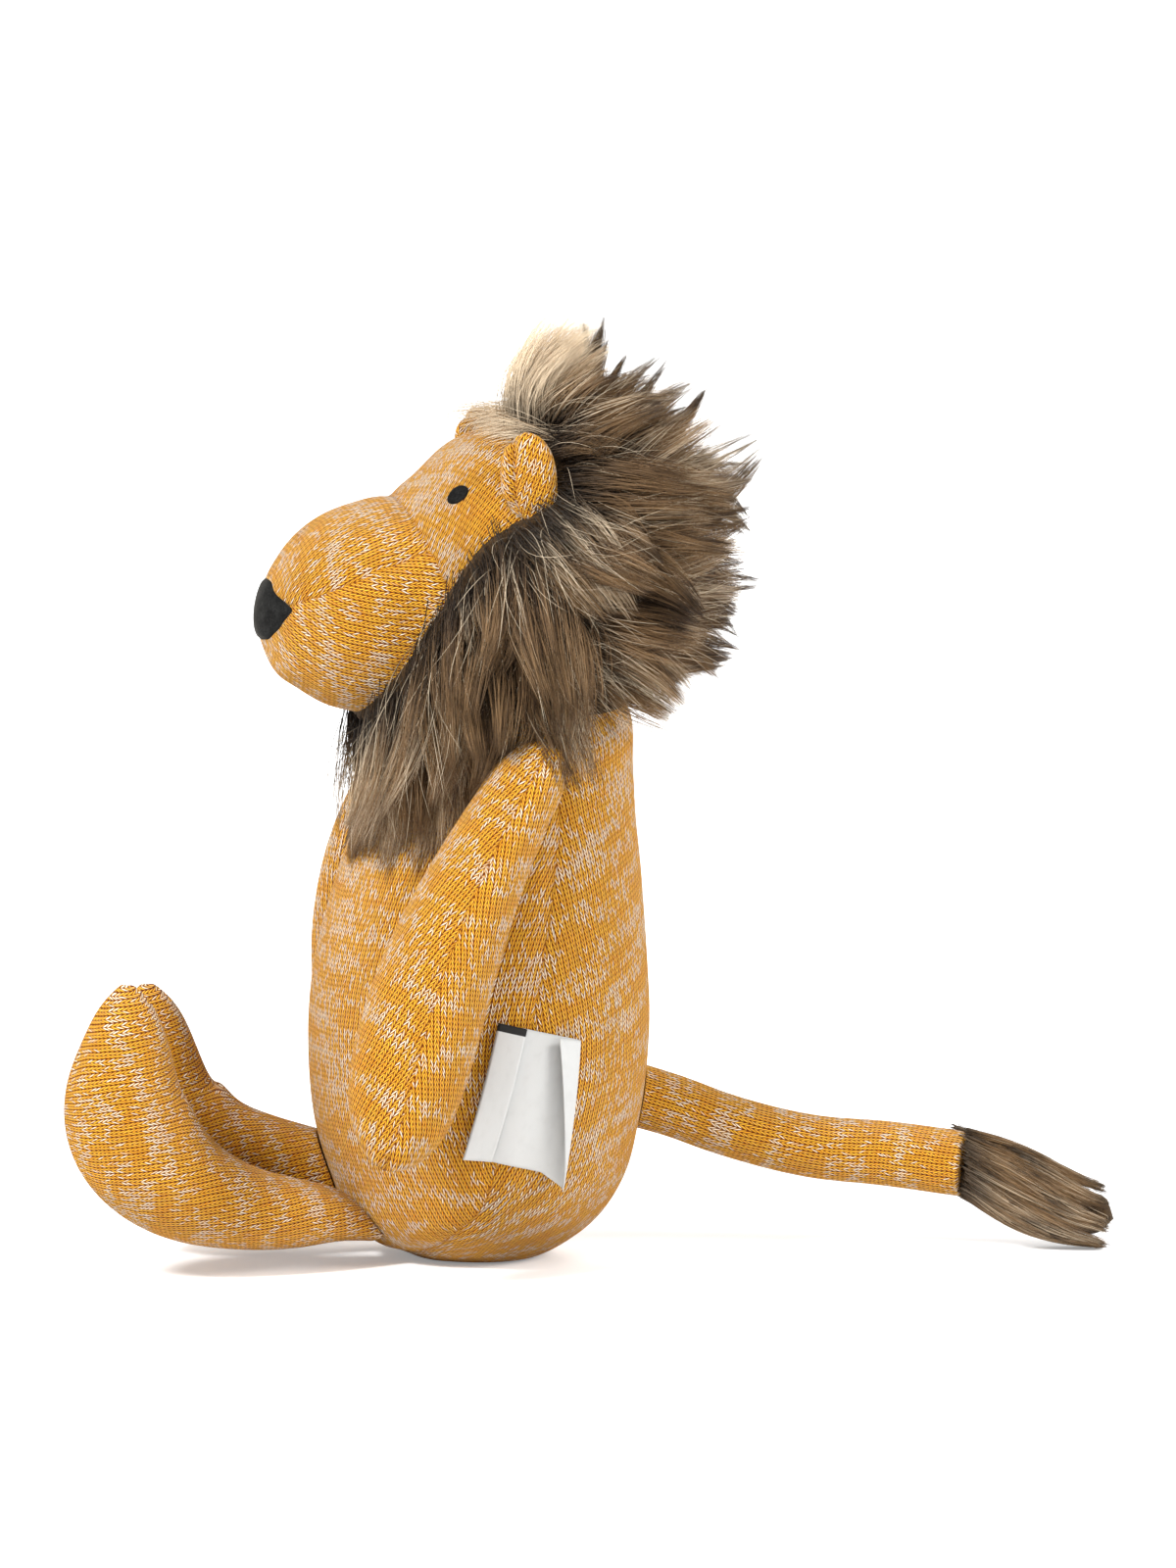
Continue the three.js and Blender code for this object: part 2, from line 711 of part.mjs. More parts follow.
const tailRoot = new THREE.Vector3(tailRootSetback, 0, tailRootHeight);
const tailRoom = (piece) => clearOfSwing(piece, torsoRoom, tailRoot, alongZ, -tailSwingAngle, tailSwingAngle);
addKnit('tail_panel', tailRoom(tailForm(0, 0).subtract(tailForm(knitWall, knitWall))));
addPiece('tail_filling', tailRoom(tailForm(knitWall + seamGap, -seamGap)), fillingWhite, 1);

const tailEnd = tailRows[tailRows.length - 1].centre;
const tuftRings = tuftShares.map(([place, drop, radius]) => ringOf(
  tailEnd.clone().add(new THREE.Vector3(
    seamGap + tuftLength * place,
    -tuftBowWidth * place,
    -tuftDrop * drop,
  )),
  alongY,
  alongZ,
  tuftRadius * radius,
  tuftRadius * radius,
  tailSides,
));
const tuftTip = tailEnd.clone().add(new THREE.Vector3(seamGap + tuftLength, -tuftBowWidth, -tuftDrop));
const tuft = skinOf(tuftRings, tailEnd.clone().add(new THREE.Vector3(seamGap, 0, 0)), tuftTip);
addPiece('tail_tuft', tuft.subtract(tailForm(-seamGap, seamGap)), furBrown, 1);

export default parts;
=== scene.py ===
import math
import bpy
import numpy as np
from mathutils import Matrix, Vector


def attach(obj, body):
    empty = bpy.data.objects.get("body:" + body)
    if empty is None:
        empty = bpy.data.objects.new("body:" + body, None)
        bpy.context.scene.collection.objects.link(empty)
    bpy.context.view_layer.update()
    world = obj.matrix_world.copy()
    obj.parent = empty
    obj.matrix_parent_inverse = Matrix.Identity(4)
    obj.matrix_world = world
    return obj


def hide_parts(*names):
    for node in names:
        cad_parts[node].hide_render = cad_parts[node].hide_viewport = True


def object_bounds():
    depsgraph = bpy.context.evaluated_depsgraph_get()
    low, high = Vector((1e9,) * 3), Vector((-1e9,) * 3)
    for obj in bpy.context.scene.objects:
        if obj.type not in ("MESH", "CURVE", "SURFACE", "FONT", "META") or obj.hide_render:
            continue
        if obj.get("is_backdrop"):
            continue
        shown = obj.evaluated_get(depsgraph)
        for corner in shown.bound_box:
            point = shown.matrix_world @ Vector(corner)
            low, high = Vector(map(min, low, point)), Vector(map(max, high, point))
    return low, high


# Looks of a sitting knitted lion with a long fur mane. Sizes are in millimetres and turn into metres in the
# mesh.
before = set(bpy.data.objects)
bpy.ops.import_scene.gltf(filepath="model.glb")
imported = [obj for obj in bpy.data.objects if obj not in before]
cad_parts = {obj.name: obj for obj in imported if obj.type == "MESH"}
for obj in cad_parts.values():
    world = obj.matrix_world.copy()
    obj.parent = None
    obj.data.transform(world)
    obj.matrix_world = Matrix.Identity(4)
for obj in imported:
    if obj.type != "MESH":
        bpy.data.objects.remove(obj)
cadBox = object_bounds()
print("frame loaded with", len(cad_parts), "nodes")
mm = 0.001

# camera
viewSet = {"azimuth": -12.0, "elevation": 7.0, "distance": 5000.0, "aside": 33.3, "rise": 143.7,
           "tall": 480.0, "sensor": (27, 36), "clip": (0.1, 60)}


def addCamera(spec):
    # looks at a point aside and up from the origin; lens = sensor height * distance / height seen
    turn, lift = math.radians(spec["azimuth"]), math.radians(spec["elevation"])
    right = Vector((math.cos(turn), math.sin(turn), 0))
    back = Vector((math.sin(turn) * math.cos(lift), -math.cos(turn) * math.cos(lift), math.sin(lift)))
    up = back.cross(right)
    data = bpy.data.cameras.new("camera")
    camera = bpy.data.objects.new("camera", data)
    bpy.context.scene.collection.objects.link(camera)
    target = (right * spec["aside"] + up * spec["rise"]) * mm
    camera.location = target + back * spec["distance"] * mm
    camera.rotation_euler = back.to_track_quat("Z", "Y").to_euler()
    data.sensor_fit = "VERTICAL"
    data.sensor_width, data.sensor_height = spec["sensor"]
    data.lens = spec["sensor"][1] * spec["distance"] / spec["tall"]
    data.clip_start, data.clip_end = spec["clip"]
    bpy.context.scene.camera = camera


addCamera(viewSet)


# mesh helpers
def through(knots, values, at):
    # cubic through the values, its slope at each knot taken from the neighbours on both sides
    slopes = np.gradient(values, knots, axis=0)
    i = np.clip(np.searchsorted(knots, at) - 1, 0, len(knots) - 2)
    gap = (knots[i + 1] - knots[i])[:, None]
    s = (at - knots[i])[:, None] / gap
    return ((2 * s**3 - 3 * s**2 + 1) * values[i] + (s**3 - 2 * s**2 + s) * gap * slopes[i]
            + (3 * s**2 - 2 * s**3) * values[i + 1] + (s**3 - s**2) * gap * slopes[i + 1])


def unit(v):
    # v / |v|
    return v / np.maximum(np.linalg.norm(v, axis=-1, keepdims=True), 1e-9)


def lengthsAlong(points, weights=1.0):
    # 0 at the first point, then the running sum of the distances from point to point
    steps = np.diff(points, axis=0) * weights
    return np.concatenate([[0], np.cumsum(np.linalg.norm(steps, axis=-1))])


def drawnIn(rings, around):
    # a row of points that all lie at the ring's middle
    return np.repeat(rings.mean(1, keepdims=True), around, 1)


def makeMesh(name, points, quads=None, tris=None, uv=None, extra=None):
    # points in millimetres; quads and tris are index arrays; uv has one row for each face corner
    parts = [a for a in (quads, tris) if a is not None and len(a)]
    loops = np.concatenate([a.ravel() for a in parts]).astype(np.int32)
    sizes = np.concatenate([np.full(len(a), a.shape[1]) for a in parts])
    starts = np.concatenate([[0], np.cumsum(sizes)[:-1]]).astype(np.int32)
    mesh = bpy.data.meshes.new(name)
    mesh.vertices.add(len(points))
    mesh.vertices.foreach_set("co", (np.asarray(points, float) * mm).astype(np.float32).ravel())
    mesh.loops.add(len(loops))
    mesh.loops.foreach_set("vertex_index", loops)
    mesh.polygons.add(len(starts))
    mesh.polygons.foreach_set("loop_start", starts)
    mesh.update(calc_edges=True)
    mesh.polygons.foreach_set("use_smooth", np.ones(len(starts), bool))
    if uv is not None:
        layer = mesh.uv_layers.new(name="weave")
        layer.data.foreach_set("uv", np.asarray(uv, np.float32).ravel())
    for key, rows in (extra or {}).items():
        layer = mesh.attributes.new(key, "FLOAT_VECTOR", "POINT")
        layer.data.foreach_set("vector", np.asarray(rows, np.float32).ravel())
    piece = bpy.data.objects.new(name, mesh)
    bpy.context.scene.collection.objects.link(piece)
    return piece


def enclosed(points, faces):
    # six times the volume inside the faces: the sum of a . (b x c) over triangles
    a, b, c = (points[faces[:, k]] for k in (0, 1, 2))
    total = np.einsum("ij,ij->", a, np.cross(b, c))
    if faces.shape[1] == 4:
        d = points[faces[:, 3]]
        total += np.einsum("ij,ij->", a, np.cross(c, d))
    return total


def closedSkin(name, rings, extra=None):
    # rings[i, j]: rows of points round the form; the first and last rows are the two end points, repeated
    rows, sides = rings.shape[:2]
    inner = rings[1:-1]
    points = np.concatenate([rings[0, :1], inner.reshape(-1, 3), rings[-1, :1]])
    last = len(points) - 1
    i, j = np.meshgrid(np.arange(rows - 3), np.arange(sides), indexing="ij")
    k = (j + 1) % sides
    quads = np.stack([1 + i * sides + j, 1 + i * sides + k, 1 + (i + 1) * sides + k,
                      1 + (i + 1) * sides + j], -1).reshape(-1, 4)
    side = np.arange(sides)
    onward = (side + 1) % sides
    head = np.stack([np.zeros(sides, int), 1 + onward, 1 + side], -1)
    base = 1 + (rows - 3) * sides
    tail = np.stack([np.full(sides, last), base + side, base + onward], -1)
    tris = np.concatenate([head, tail])
    v = lambda row: (row + 1) / (rows - 1)
    pair = lambda a, b: np.stack([a, b], -1)
    quadUv = np.stack([pair(j / sides, v(i)), pair((j + 1) / sides, v(i)), pair((j + 1) / sides, v(i + 1)),
                       pair(j / sides, v(i + 1))], -2).reshape(-1, 4, 2)
    mid = (side + 0.5) / sides
    low, high = np.zeros(sides), np.ones(sides)
    headUv = np.stack([pair(mid, low), pair((side + 1) / sides, low + v(0)), pair(side / sides, low + v(0))],
                      1)
    highRow = high * v(rows - 3)
    tailUv = np.stack([pair(mid, high), pair(side / sides, highRow), pair((side + 1) / sides, highRow)], 1)
    triUv = np.concatenate([headUv, tailUv])
    if enclosed(points, quads) + enclosed(points, tris) < 0:
        quads, quadUv = quads[:, ::-1], quadUv[:, ::-1]
        tris, triUv = tris[:, ::-1], triUv[:, ::-1]
    uv = np.concatenate([quadUv.reshape(-1, 2), triUv.reshape(-1, 2)])
    flat = {}
    for key, grid in (extra or {}).items():
        flat[key] = np.concatenate([grid[0].mean(0)[None], grid[1:-1].reshape(-1, grid.shape[-1]),
                                    grid[-1].mean(0)[None]])
    return makeMesh(name, points, quads, tris, uv, flat)


# rounded forms
def makeForm(rows, startRow, endRow, fullness=2.0, origin=(0, 0, 0), axes=((1, 0, 0), (0, 1, 0), (0, 0, 1))):
    # rows: place along the first axis, middle on the other two, half size on both; the ends are points, and
    # the curve runs on past them with the half sizes below zero, so that it crosses each end square and
    # rounded
    rows = np.array(rows, float)
    ends = [np.array(startRow, float), np.array(endRow, float)]
    mirrored = rows.copy()
    mirrored[:, 3:] *= -1
    table = np.vstack([mirrored[0], ends[0], rows, ends[1], mirrored[-1]])
    steps = np.diff(table, axis=0) * np.array([1, 0.7, 0.7, 0.7, 0.7])
    knots = np.concatenate([[0], np.cumsum(np.linalg.norm(steps, axis=1) + 1e-6)])
    form = {"table": table, "knots": knots, "fullness": fullness,
            "origin": np.array(origin, float), "axes": np.array(axes, float)}
    dense = through(knots, table, np.linspace(knots[1], knots[-2], 600))
    order = np.argsort(dense[:, 0], kind="stable")
    form["dense"] = dense[order]
    return form


def formRings(form, along, around):
    # point = origin + place * axis0 + (middle1 + half1 * cos^) * axis1 + (middle2 + half2 * sin^) * axis2
    share = np.linspace(0, 1, along)
    knots = form["knots"]
    rows = through(knots, form["table"], knots[1] + (knots[-2] - knots[1]) * share)
    turn = 2 * np.pi * np.arange(around) / around
    power = 2 / form["fullness"]
    cos = np.sign(np.cos(turn)) * np.abs(np.cos(turn)) ** power
    sin = np.sign(np.sin(turn)) * np.abs(np.sin(turn)) ** power
    half = np.maximum(rows[:, 3:5], 0)
    half[[0, -1]] = 0
    local = np.stack([np.repeat(rows[:, :1], around, 1), rows[:, 1:2] + half[:, :1] * cos,
                      rows[:, 2:3] + half[:, 1:] * sin], -1)
    return form["origin"] + local @ form["axes"]


def depthIn(form, points, grow=0.0):
    # how far out a point lies, 1 on the surface: (|a/half1|^n + |b/half2|^n)^(1/n) in the slice through the
    # point
    local = (points - form["origin"]) @ form["axes"].T
    rows = np.stack([np.interp(local[..., 0], form["dense"][:, 0], form["dense"][:, k], left=-1e-3,
                               right=-1e-3) for k in range(1, 5)], -1)
    inside = (local[..., 0] > form["dense"][0, 0]) & (local[..., 0] < form["dense"][-1, 0])
    half = np.maximum(rows[..., 2:4] + grow, 1e-3)
    n = form["fullness"]
    off = local[..., 1:] - rows[..., :2]
    depth = (np.abs(off[..., 0] / half[..., 0]) ** n + np.abs(off[..., 1] / half[..., 1]) ** n) ** (1 / n)
    return np.where(inside, depth, 9.0), off, local


def keepOut(form, points, grow):
    # a point inside the form moves straight out, in its own slice, to the surface grown by the clearance
    depth, off, local = depthIn(form, points, grow)
    push = np.where(depth < 1, 1 / np.maximum(depth, 0.05), 1) - 1
    push = np.minimum(push, 40 / np.maximum(np.linalg.norm(off, axis=-1), 1e-6))
    local = local.copy()
    local[..., 1:] += off * push[..., None]
    return form["origin"] + local @ form["axes"]


def landOn(form, points, way, reach):
    # walks from each point along the way until the form's surface is met, and ends on it
    steps = np.linspace(0, reach, 240)
    trail = points[..., None, :] + np.asarray(way, float) * steps[:, None]
    depth = depthIn(form, trail)[0]
    hit = depth < 1
    first = np.argmax(hit, -1)
    first = np.where(hit.any(-1), np.maximum(first, 1), 1)
    before = np.take_along_axis(depth, first[..., None] - 1, -1)[..., 0]
    after = np.take_along_axis(depth, first[..., None], -1)[..., 0]
    part = np.clip((before - 1) / np.maximum(before - after, 1e-6), 0, 1)
    part = np.where(before > 5, 1, part)
    walked = steps[first - 1] + part * (steps[1] - steps[0])
    return points + np.asarray(way, float) * walked[..., None]


def normalsOf(rings):
    # cross product of the steps along and round the form
    alongStep = np.gradient(rings, axis=0)
    aroundStep = np.roll(rings, -1, 1) - np.roll(rings, 1, 1)
    n = unit(np.cross(aroundStep, alongStep))
    centre = rings.mean(1, keepdims=True)
    sign = np.sign(np.einsum("ijk,ijk->", n, rings - centre))
    return n * sign


# knit coordinates on a form
def aroundArc(rings, start, bothWays):
    # length round each row from the start column, measured both ways or all the way round
    sides = rings.shape[1]
    steps = np.linalg.norm(np.roll(rings, -1, 1) - rings, axis=-1)
    rolled = np.roll(steps, -start, 1)
    arc = np.concatenate([np.zeros((len(rings), 1)), np.cumsum(rolled, 1)[:, :-1]], 1)
    total = rolled.sum(1, keepdims=True)
    if bothWays:
        arc = np.where(arc > total / 2, arc - total, arc)
    return np.roll(arc, start, 1), np.repeat(total, sides, 1)


def alongArc(rings, column):
    # length along the form down one column, the same right round
    return np.repeat(lengthsAlong(rings[:, column])[:, None], rings.shape[1], 1)


def panel(across, along, tilt=0.0, shift=0.0):
    # stitch columns run along; the tilt turns them on the cloth
    c, s = math.cos(math.radians(tilt)), math.sin(math.radians(tilt))
    return np.stack([across * c + along * s + shift, along * c - across * s, np.zeros_like(across)], -1)


def gapToLine(x, z, line):
    # signed distance from points to a line of straight stretches, above zero on its +X side
    line = np.array(line, float)
    a, b = line[:-1], line[1:]
    p = np.stack([x, z], -1)[..., None, :]
    part = np.clip(((p - a) * (b - a)).sum(-1) / ((b - a) ** 2).sum(-1), 0, 1)
    off = p - (a + (b - a) * part[..., None])
    far = np.linalg.norm(off, axis=-1)
    near = far.argmin(-1)
    side = ((b - a)[..., 0] * off[..., 1] - (b - a)[..., 1] * off[..., 0])
    sign = np.sign(np.take_along_axis(side, near[..., None], -1)[..., 0])
    return np.take_along_axis(far, near[..., None], -1)[..., 0] * sign


def sinkSeam(rings, normals, gap, depth=0.9, width=2.2):
    # the cloth is drawn in by the thread: depth * exp(-(gap / width)^2), and swells a little beside it
    beside = (np.abs(gap) - 2.4 * width) / (1.6 * width)
    pull = depth * np.exp(-((gap / width) ** 2)) - 0.35 * depth * np.exp(-(beside**2))
    return rings - normals * pull[..., None]


def seamPair(gap, seam=None):
    # the gap picks the second panel where it is above zero, and the third panel is never picked
    return np.stack([gap, np.full_like(gap, -1000), gap if seam is None else seam], -1)


def heldPoints(held, ends):
    # one value for each point of a closed skin: its two end points, and the rows between them
    return np.concatenate([[ends], held[1:-1].ravel(), [ends]])


# materials
def calc(tree, operation, *values):
    # one Math node on numbers or sockets
    node = tree.nodes.new("ShaderNodeMath")
    node.operation = operation
    for socket, value in zip(node.inputs, values):
        if isinstance(value, (int, float)):
            socket.default_value = value
        else:
            tree.links.new(value, socket)
    return node.outputs[0]


def aboutZero(tree, value, weight):
    # weight * (value - 0.5)
    return calc(tree, "MULTIPLY", calc(tree, "SUBTRACT", value, 0.5), weight)


def mixColour(tree, amount, one, two):
    # one + amount * (two - one)
    node = tree.nodes.new("ShaderNodeMix")
    node.data_type = "RGBA"
    for socket, value in ((node.inputs[0], amount), (node.inputs[6], one), (node.inputs[7], two)):
        if isinstance(value, (int, float)):
            socket.default_value = value
        elif isinstance(value, tuple):
            socket.default_value = (*value, 1)
        else:
            tree.links.new(value, socket)
    return node.outputs[2]


def ramp(tree, value, low, high):
    # 0 below low, 1 above high, smooth between
    node = tree.nodes.new("ShaderNodeMapRange")
    node.interpolation_type = "SMOOTHSTEP"
    tree.links.new(value, node.inputs[0])
    node.inputs[1].default_value = low
    node.inputs[2].default_value = high
    return node.outputs[0]


def vectorOf(tree, x, y, z):
    # numbers or sockets as one vector
    node = tree.nodes.new("ShaderNodeCombineXYZ")
    for socket, value in zip(node.inputs, (x, y, z)):
        if isinstance(value, (int, float)):
            socket.default_value = value
        else:
            tree.links.new(value, socket)
    return node.outputs[0]


def noiseAt(tree, vector, scale, detail=2.0, rough=0.5):
    # soft noise from 0 to 1, scale blotches for each unit of the vector
    node = tree.nodes.new("ShaderNodeTexNoise")
    tree.links.new(vector, node.inputs["Vector"])
    node.inputs["Scale"].default_value = scale
    node.inputs["Detail"].default_value = detail
    node.inputs["Roughness"].default_value = rough
    return node.outputs[0]


def objectPlace(tree):
    # the piece's own coordinates, in metres
    return tree.nodes.new("ShaderNodeTexCoord").outputs["Object"]


def addBump(tree, shader, height, distance, strength=1.0):
    # relief of the given height, its distance in millimetres
    bump = tree.nodes.new("ShaderNodeBump")
    bump.inputs["Strength"].default_value = strength
    bump.inputs["Distance"].default_value = distance * mm
    tree.links.new(height, bump.inputs["Height"])
    tree.links.new(bump.outputs[0], shader.inputs["Normal"])


def seenRays(tree):
    # 1 for rays that end in the eye: straight, by a mirror or through glass, and 0 for the others
    ray = tree.nodes.new("ShaderNodeLightPath")
    seen = calc(tree, "MAXIMUM", ray.outputs["Is Camera Ray"], ray.outputs["Is Glossy Ray"])
    return calc(tree, "MAXIMUM", seen, ray.outputs["Is Transmission Ray"])


def newMaterial(name, roughness, sheen=0.0, specular=0.3):
    # cloth: a rough surface with the faint pale sheen of its fibres
    material = bpy.data.materials.new(name)
    material.use_nodes = True
    tree = material.node_tree
    shader = tree.nodes["Principled BSDF"]
    shader.inputs["Roughness"].default_value = roughness
    shader.inputs["Specular IOR Level"].default_value = specular
    shader.inputs["Sheen Weight"].default_value = sheen
    shader.inputs["Sheen Roughness"].default_value = 0.3
    shader.inputs["Sheen Tint"].default_value = (1.0, 0.93, 0.8, 1.0)
    return material, tree, shader


def linear(*srgb):
    # colours written 0-255 as seen on screen: v / 12.92 when dark, else ((v + 0.055) / 1.055)^2.4
    v = np.array(srgb, float) / 255
    return tuple(float(x) for x in np.where(v <= 0.04045, v / 12.92, ((v + 0.055) / 1.055) ** 2.4))


# painted shade: the gap colours below are the hollows between the stitch legs, darkened as shade under orange
# and under cream yarn
yarn = {"column": 2.0, "row": 1.5, "slope": 1.6, "orange": linear(254, 190, 56), "deep": linear(245, 165, 38),
        "cream": linear(253, 244, 222), "gap": linear(104, 46, 6), "bumpHeight": 0.65, "creamFrom": 0.62,
        "creamTo": 0.67, "creamGapShade": linear(180, 126, 66), "wander": 1.8, "slub": 0.35, "band": 2.2,
        "single": 0.78,
        "legInner": 3.3, "legOuter": 4.2, "round": 1.8, "shadeFrom": 0.26, "shadeTo": 0.95, "seamShade": 0.32}


def melangeKnit(spec):
    # Stocking stitch: each column holds a V of two legs. In a column of width w and rows of height h,
    # row = y / h - slope * |x'|, and a leg's height is sqrt(1 - t^1.8 - l^2), t across its row and l along
    # it.
    material, tree, shader = newMaterial("melangeKnit", 0.95, sheen=0.18, specular=0.05)
    links = tree.links

    def read(name):
        node = tree.nodes.new("ShaderNodeAttribute")
        node.attribute_name = name
        split = tree.nodes.new("ShaderNodeSeparateXYZ")
        links.new(node.outputs["Vector"], split.inputs[0])
        return split.outputs

    one, two, three, seams = read("panelOne"), read("panelTwo"), read("panelThree"), read("seamGaps")
    pickTwo = calc(tree, "GREATER_THAN", seams[0], 0.0)
    pickThree = calc(tree, "GREATER_THAN", seams[1], 0.0)

    def pick(k):
        first = calc(tree, "ADD", one[k],
                     calc(tree, "MULTIPLY", calc(tree, "SUBTRACT", two[k], one[k]), pickTwo))
        return calc(tree, "ADD", first,
                    calc(tree, "MULTIPLY", calc(tree, "SUBTRACT", three[k], first), pickThree))

    place = objectPlace(tree)
    # the columns and rows wander a little, as stretched cloth does
    across = calc(tree, "ADD", pick(0), aboutZero(tree, noiseAt(tree, place, 60, 2), spec["wander"]))
    along = calc(tree, "ADD", pick(1), aboutZero(tree, noiseAt(tree, place, 85, 2), spec["wander"]))
    x = calc(tree, "DIVIDE", across, spec["column"])
    column = calc(tree, "FLOOR", x)
    offset = calc(tree, "SUBTRACT", calc(tree, "SUBTRACT", x, column), 0.5)
    fromMiddle = calc(tree, "ABSOLUTE", offset)
    leg = calc(tree, "GREATER_THAN", offset, 0.0)
    y = calc(tree, "SUBTRACT", calc(tree, "DIVIDE", along, spec["row"]),
             calc(tree, "MULTIPLY", fromMiddle, 2 * spec["slope"]))
    row = calc(tree, "FLOOR", y)
    inRow = aboutZero(tree, calc(tree, "SUBTRACT", y, row), 2.0)
    inner = calc(tree, "MAXIMUM",
                 calc(tree, "MULTIPLY", calc(tree, "SUBTRACT", 0.25, fromMiddle), spec["legInner"]), 0.0)
    outer = calc(tree, "MAXIMUM",
                 calc(tree, "MULTIPLY", calc(tree, "SUBTRACT", fromMiddle, 0.25), spec["legOuter"]), 0.0)
    legOff = calc(tree, "ADD", inner, outer)
    hollow = calc(tree, "ADD", calc(tree, "POWER", calc(tree, "ABSOLUTE", inRow), spec["round"]),
                  calc(tree, "POWER", legOff, 2.0))
    height = calc(tree, "SQRT", calc(tree, "MAXIMUM", calc(tree, "SUBTRACT", 1.0, hollow), 0.0))

    # cream strands run along the rows for a few stitches at a time, and lie as streaks in the legs
    legCell = calc(tree, "ADD", column, calc(tree, "MULTIPLY", leg, 0.5))
    slub = noiseAt(tree, vectorOf(tree, calc(tree, "MULTIPLY", legCell, 0.37),
                                  calc(tree, "MULTIPLY", row, 1.37), pickTwo), 1.0, 1)
    band = noiseAt(tree, vectorOf(tree, calc(tree, "MULTIPLY", legCell, 0.06),
                                  calc(tree, "MULTIPLY", row, 0.24), pickThree), 1.0, 2)
    cell = tree.nodes.new("ShaderNodeTexWhiteNoise")
    cell.noise_dimensions = "3D"
    links.new(vectorOf(tree, legCell, row, pickTwo), cell.inputs["Vector"])
    chance = tree.nodes.new("ShaderNodeSeparateColor")
    links.new(cell.outputs["Color"], chance.inputs[0])
    mixed = calc(tree, "ADD", 0.5, aboutZero(tree, slub, spec["slub"]))
    mixed = calc(tree, "ADD", mixed, aboutZero(tree, band, spec["band"]))
    mixed = calc(tree, "ADD", mixed, aboutZero(tree, chance.outputs[0], spec["single"]))
    middle = aboutZero(tree, chance.outputs[1], 0.8)
    width = calc(tree, "ADD", 0.18, calc(tree, "MULTIPLY", chance.outputs[2], 0.32))
    fromStreak = calc(tree, "SUBTRACT", calc(tree, "ABSOLUTE", calc(tree, "SUBTRACT", inRow, middle)), width)
    streak = calc(tree, "MULTIPLY", calc(tree, "SUBTRACT", 1.0, ramp(tree, fromStreak, 0.0, 0.3)),
                  calc(tree, "SUBTRACT", 1.0, ramp(tree, legOff, 0.5, 0.85)))
    cream = calc(tree, "MULTIPLY", ramp(tree, mixed, spec["creamFrom"], spec["creamTo"]), streak)
    fibre = noiseAt(tree, vectorOf(tree, calc(tree, "MULTIPLY", offset, 3.0), calc(tree, "MULTIPLY", y, 4.5),
                                   column), 1.0, 3, 0.6)
    orange = mixColour(tree, chance.outputs[0], spec["orange"], spec["deep"])
    orange = mixColour(tree, calc(tree, "MULTIPLY", ramp(tree, fibre, 0.52, 0.7), 0.12), orange,
                       spec["cream"])
    yarnColour = mixColour(tree, calc(tree, "MULTIPLY", cream, 0.92), orange, spec["cream"])
    # painted shade: where a leg's height falls away its colour goes over to the gap shade, darkest in the
    # hollows between the legs; each leg also darkens toward the gap colour by a random share
    shade = ramp(tree, height, spec["shadeFrom"], spec["shadeTo"])
    gapShadeColour = mixColour(tree, calc(tree, "MULTIPLY", cream, 0.3), spec["gap"], spec["creamGapShade"])
    coloured = mixColour(tree, shade, gapShadeColour, yarnColour)
    coloured = mixColour(tree, calc(tree, "MULTIPLY", chance.outputs[1], 0.16), coloured, spec["gap"])

    # painted shade along the seam: a narrow darker line with the stitches drawn in on both sides
    seamFar = calc(tree, "ABSOLUTE", seams[2])
    groove = ramp(tree, seamFar, 0.1, 0.9)
    coloured = mixColour(tree, calc(tree, "MULTIPLY", calc(tree, "SUBTRACT", 1.0, groove), spec["seamShade"]),
                         coloured, spec["gap"])
    links.new(coloured, shader.inputs["Base Color"])
    fuzz = noiseAt(tree, place, 2600, 2)
    relief = calc(tree, "ADD", height, calc(tree, "MULTIPLY", fibre, 0.3))
    relief = calc(tree, "ADD", relief, calc(tree, "MULTIPLY", fuzz, 0.1))
    relief = calc(tree, "MULTIPLY", relief, calc(tree, "ADD", 0.5, calc(tree, "MULTIPLY", groove, 0.5)))
    addBump(tree, shader, relief, spec["bumpHeight"])
    return material


def blackFelt():
    # short pressed fibres: two noises, one fine and one broad, over near black
    material, tree, shader = newMaterial("blackFelt", 0.95, sheen=0.15, specular=0.1)
    place = objectPlace(tree)
    fine = noiseAt(tree, place, 1900, 4, 0.7)
    broad = noiseAt(tree, place, 320, 3, 0.6)
    both = calc(tree, "ADD", calc(tree, "MULTIPLY", fine, 0.6), calc(tree, "MULTIPLY", broad, 0.4))
    tree.links.new(mixColour(tree, ramp(tree, both, 0.35, 0.75), linear(9, 9, 9), linear(40, 40, 39)),
                   shader.inputs["Base Color"])
    addBump(tree, shader, both, 0.25, 0.7)
    return material


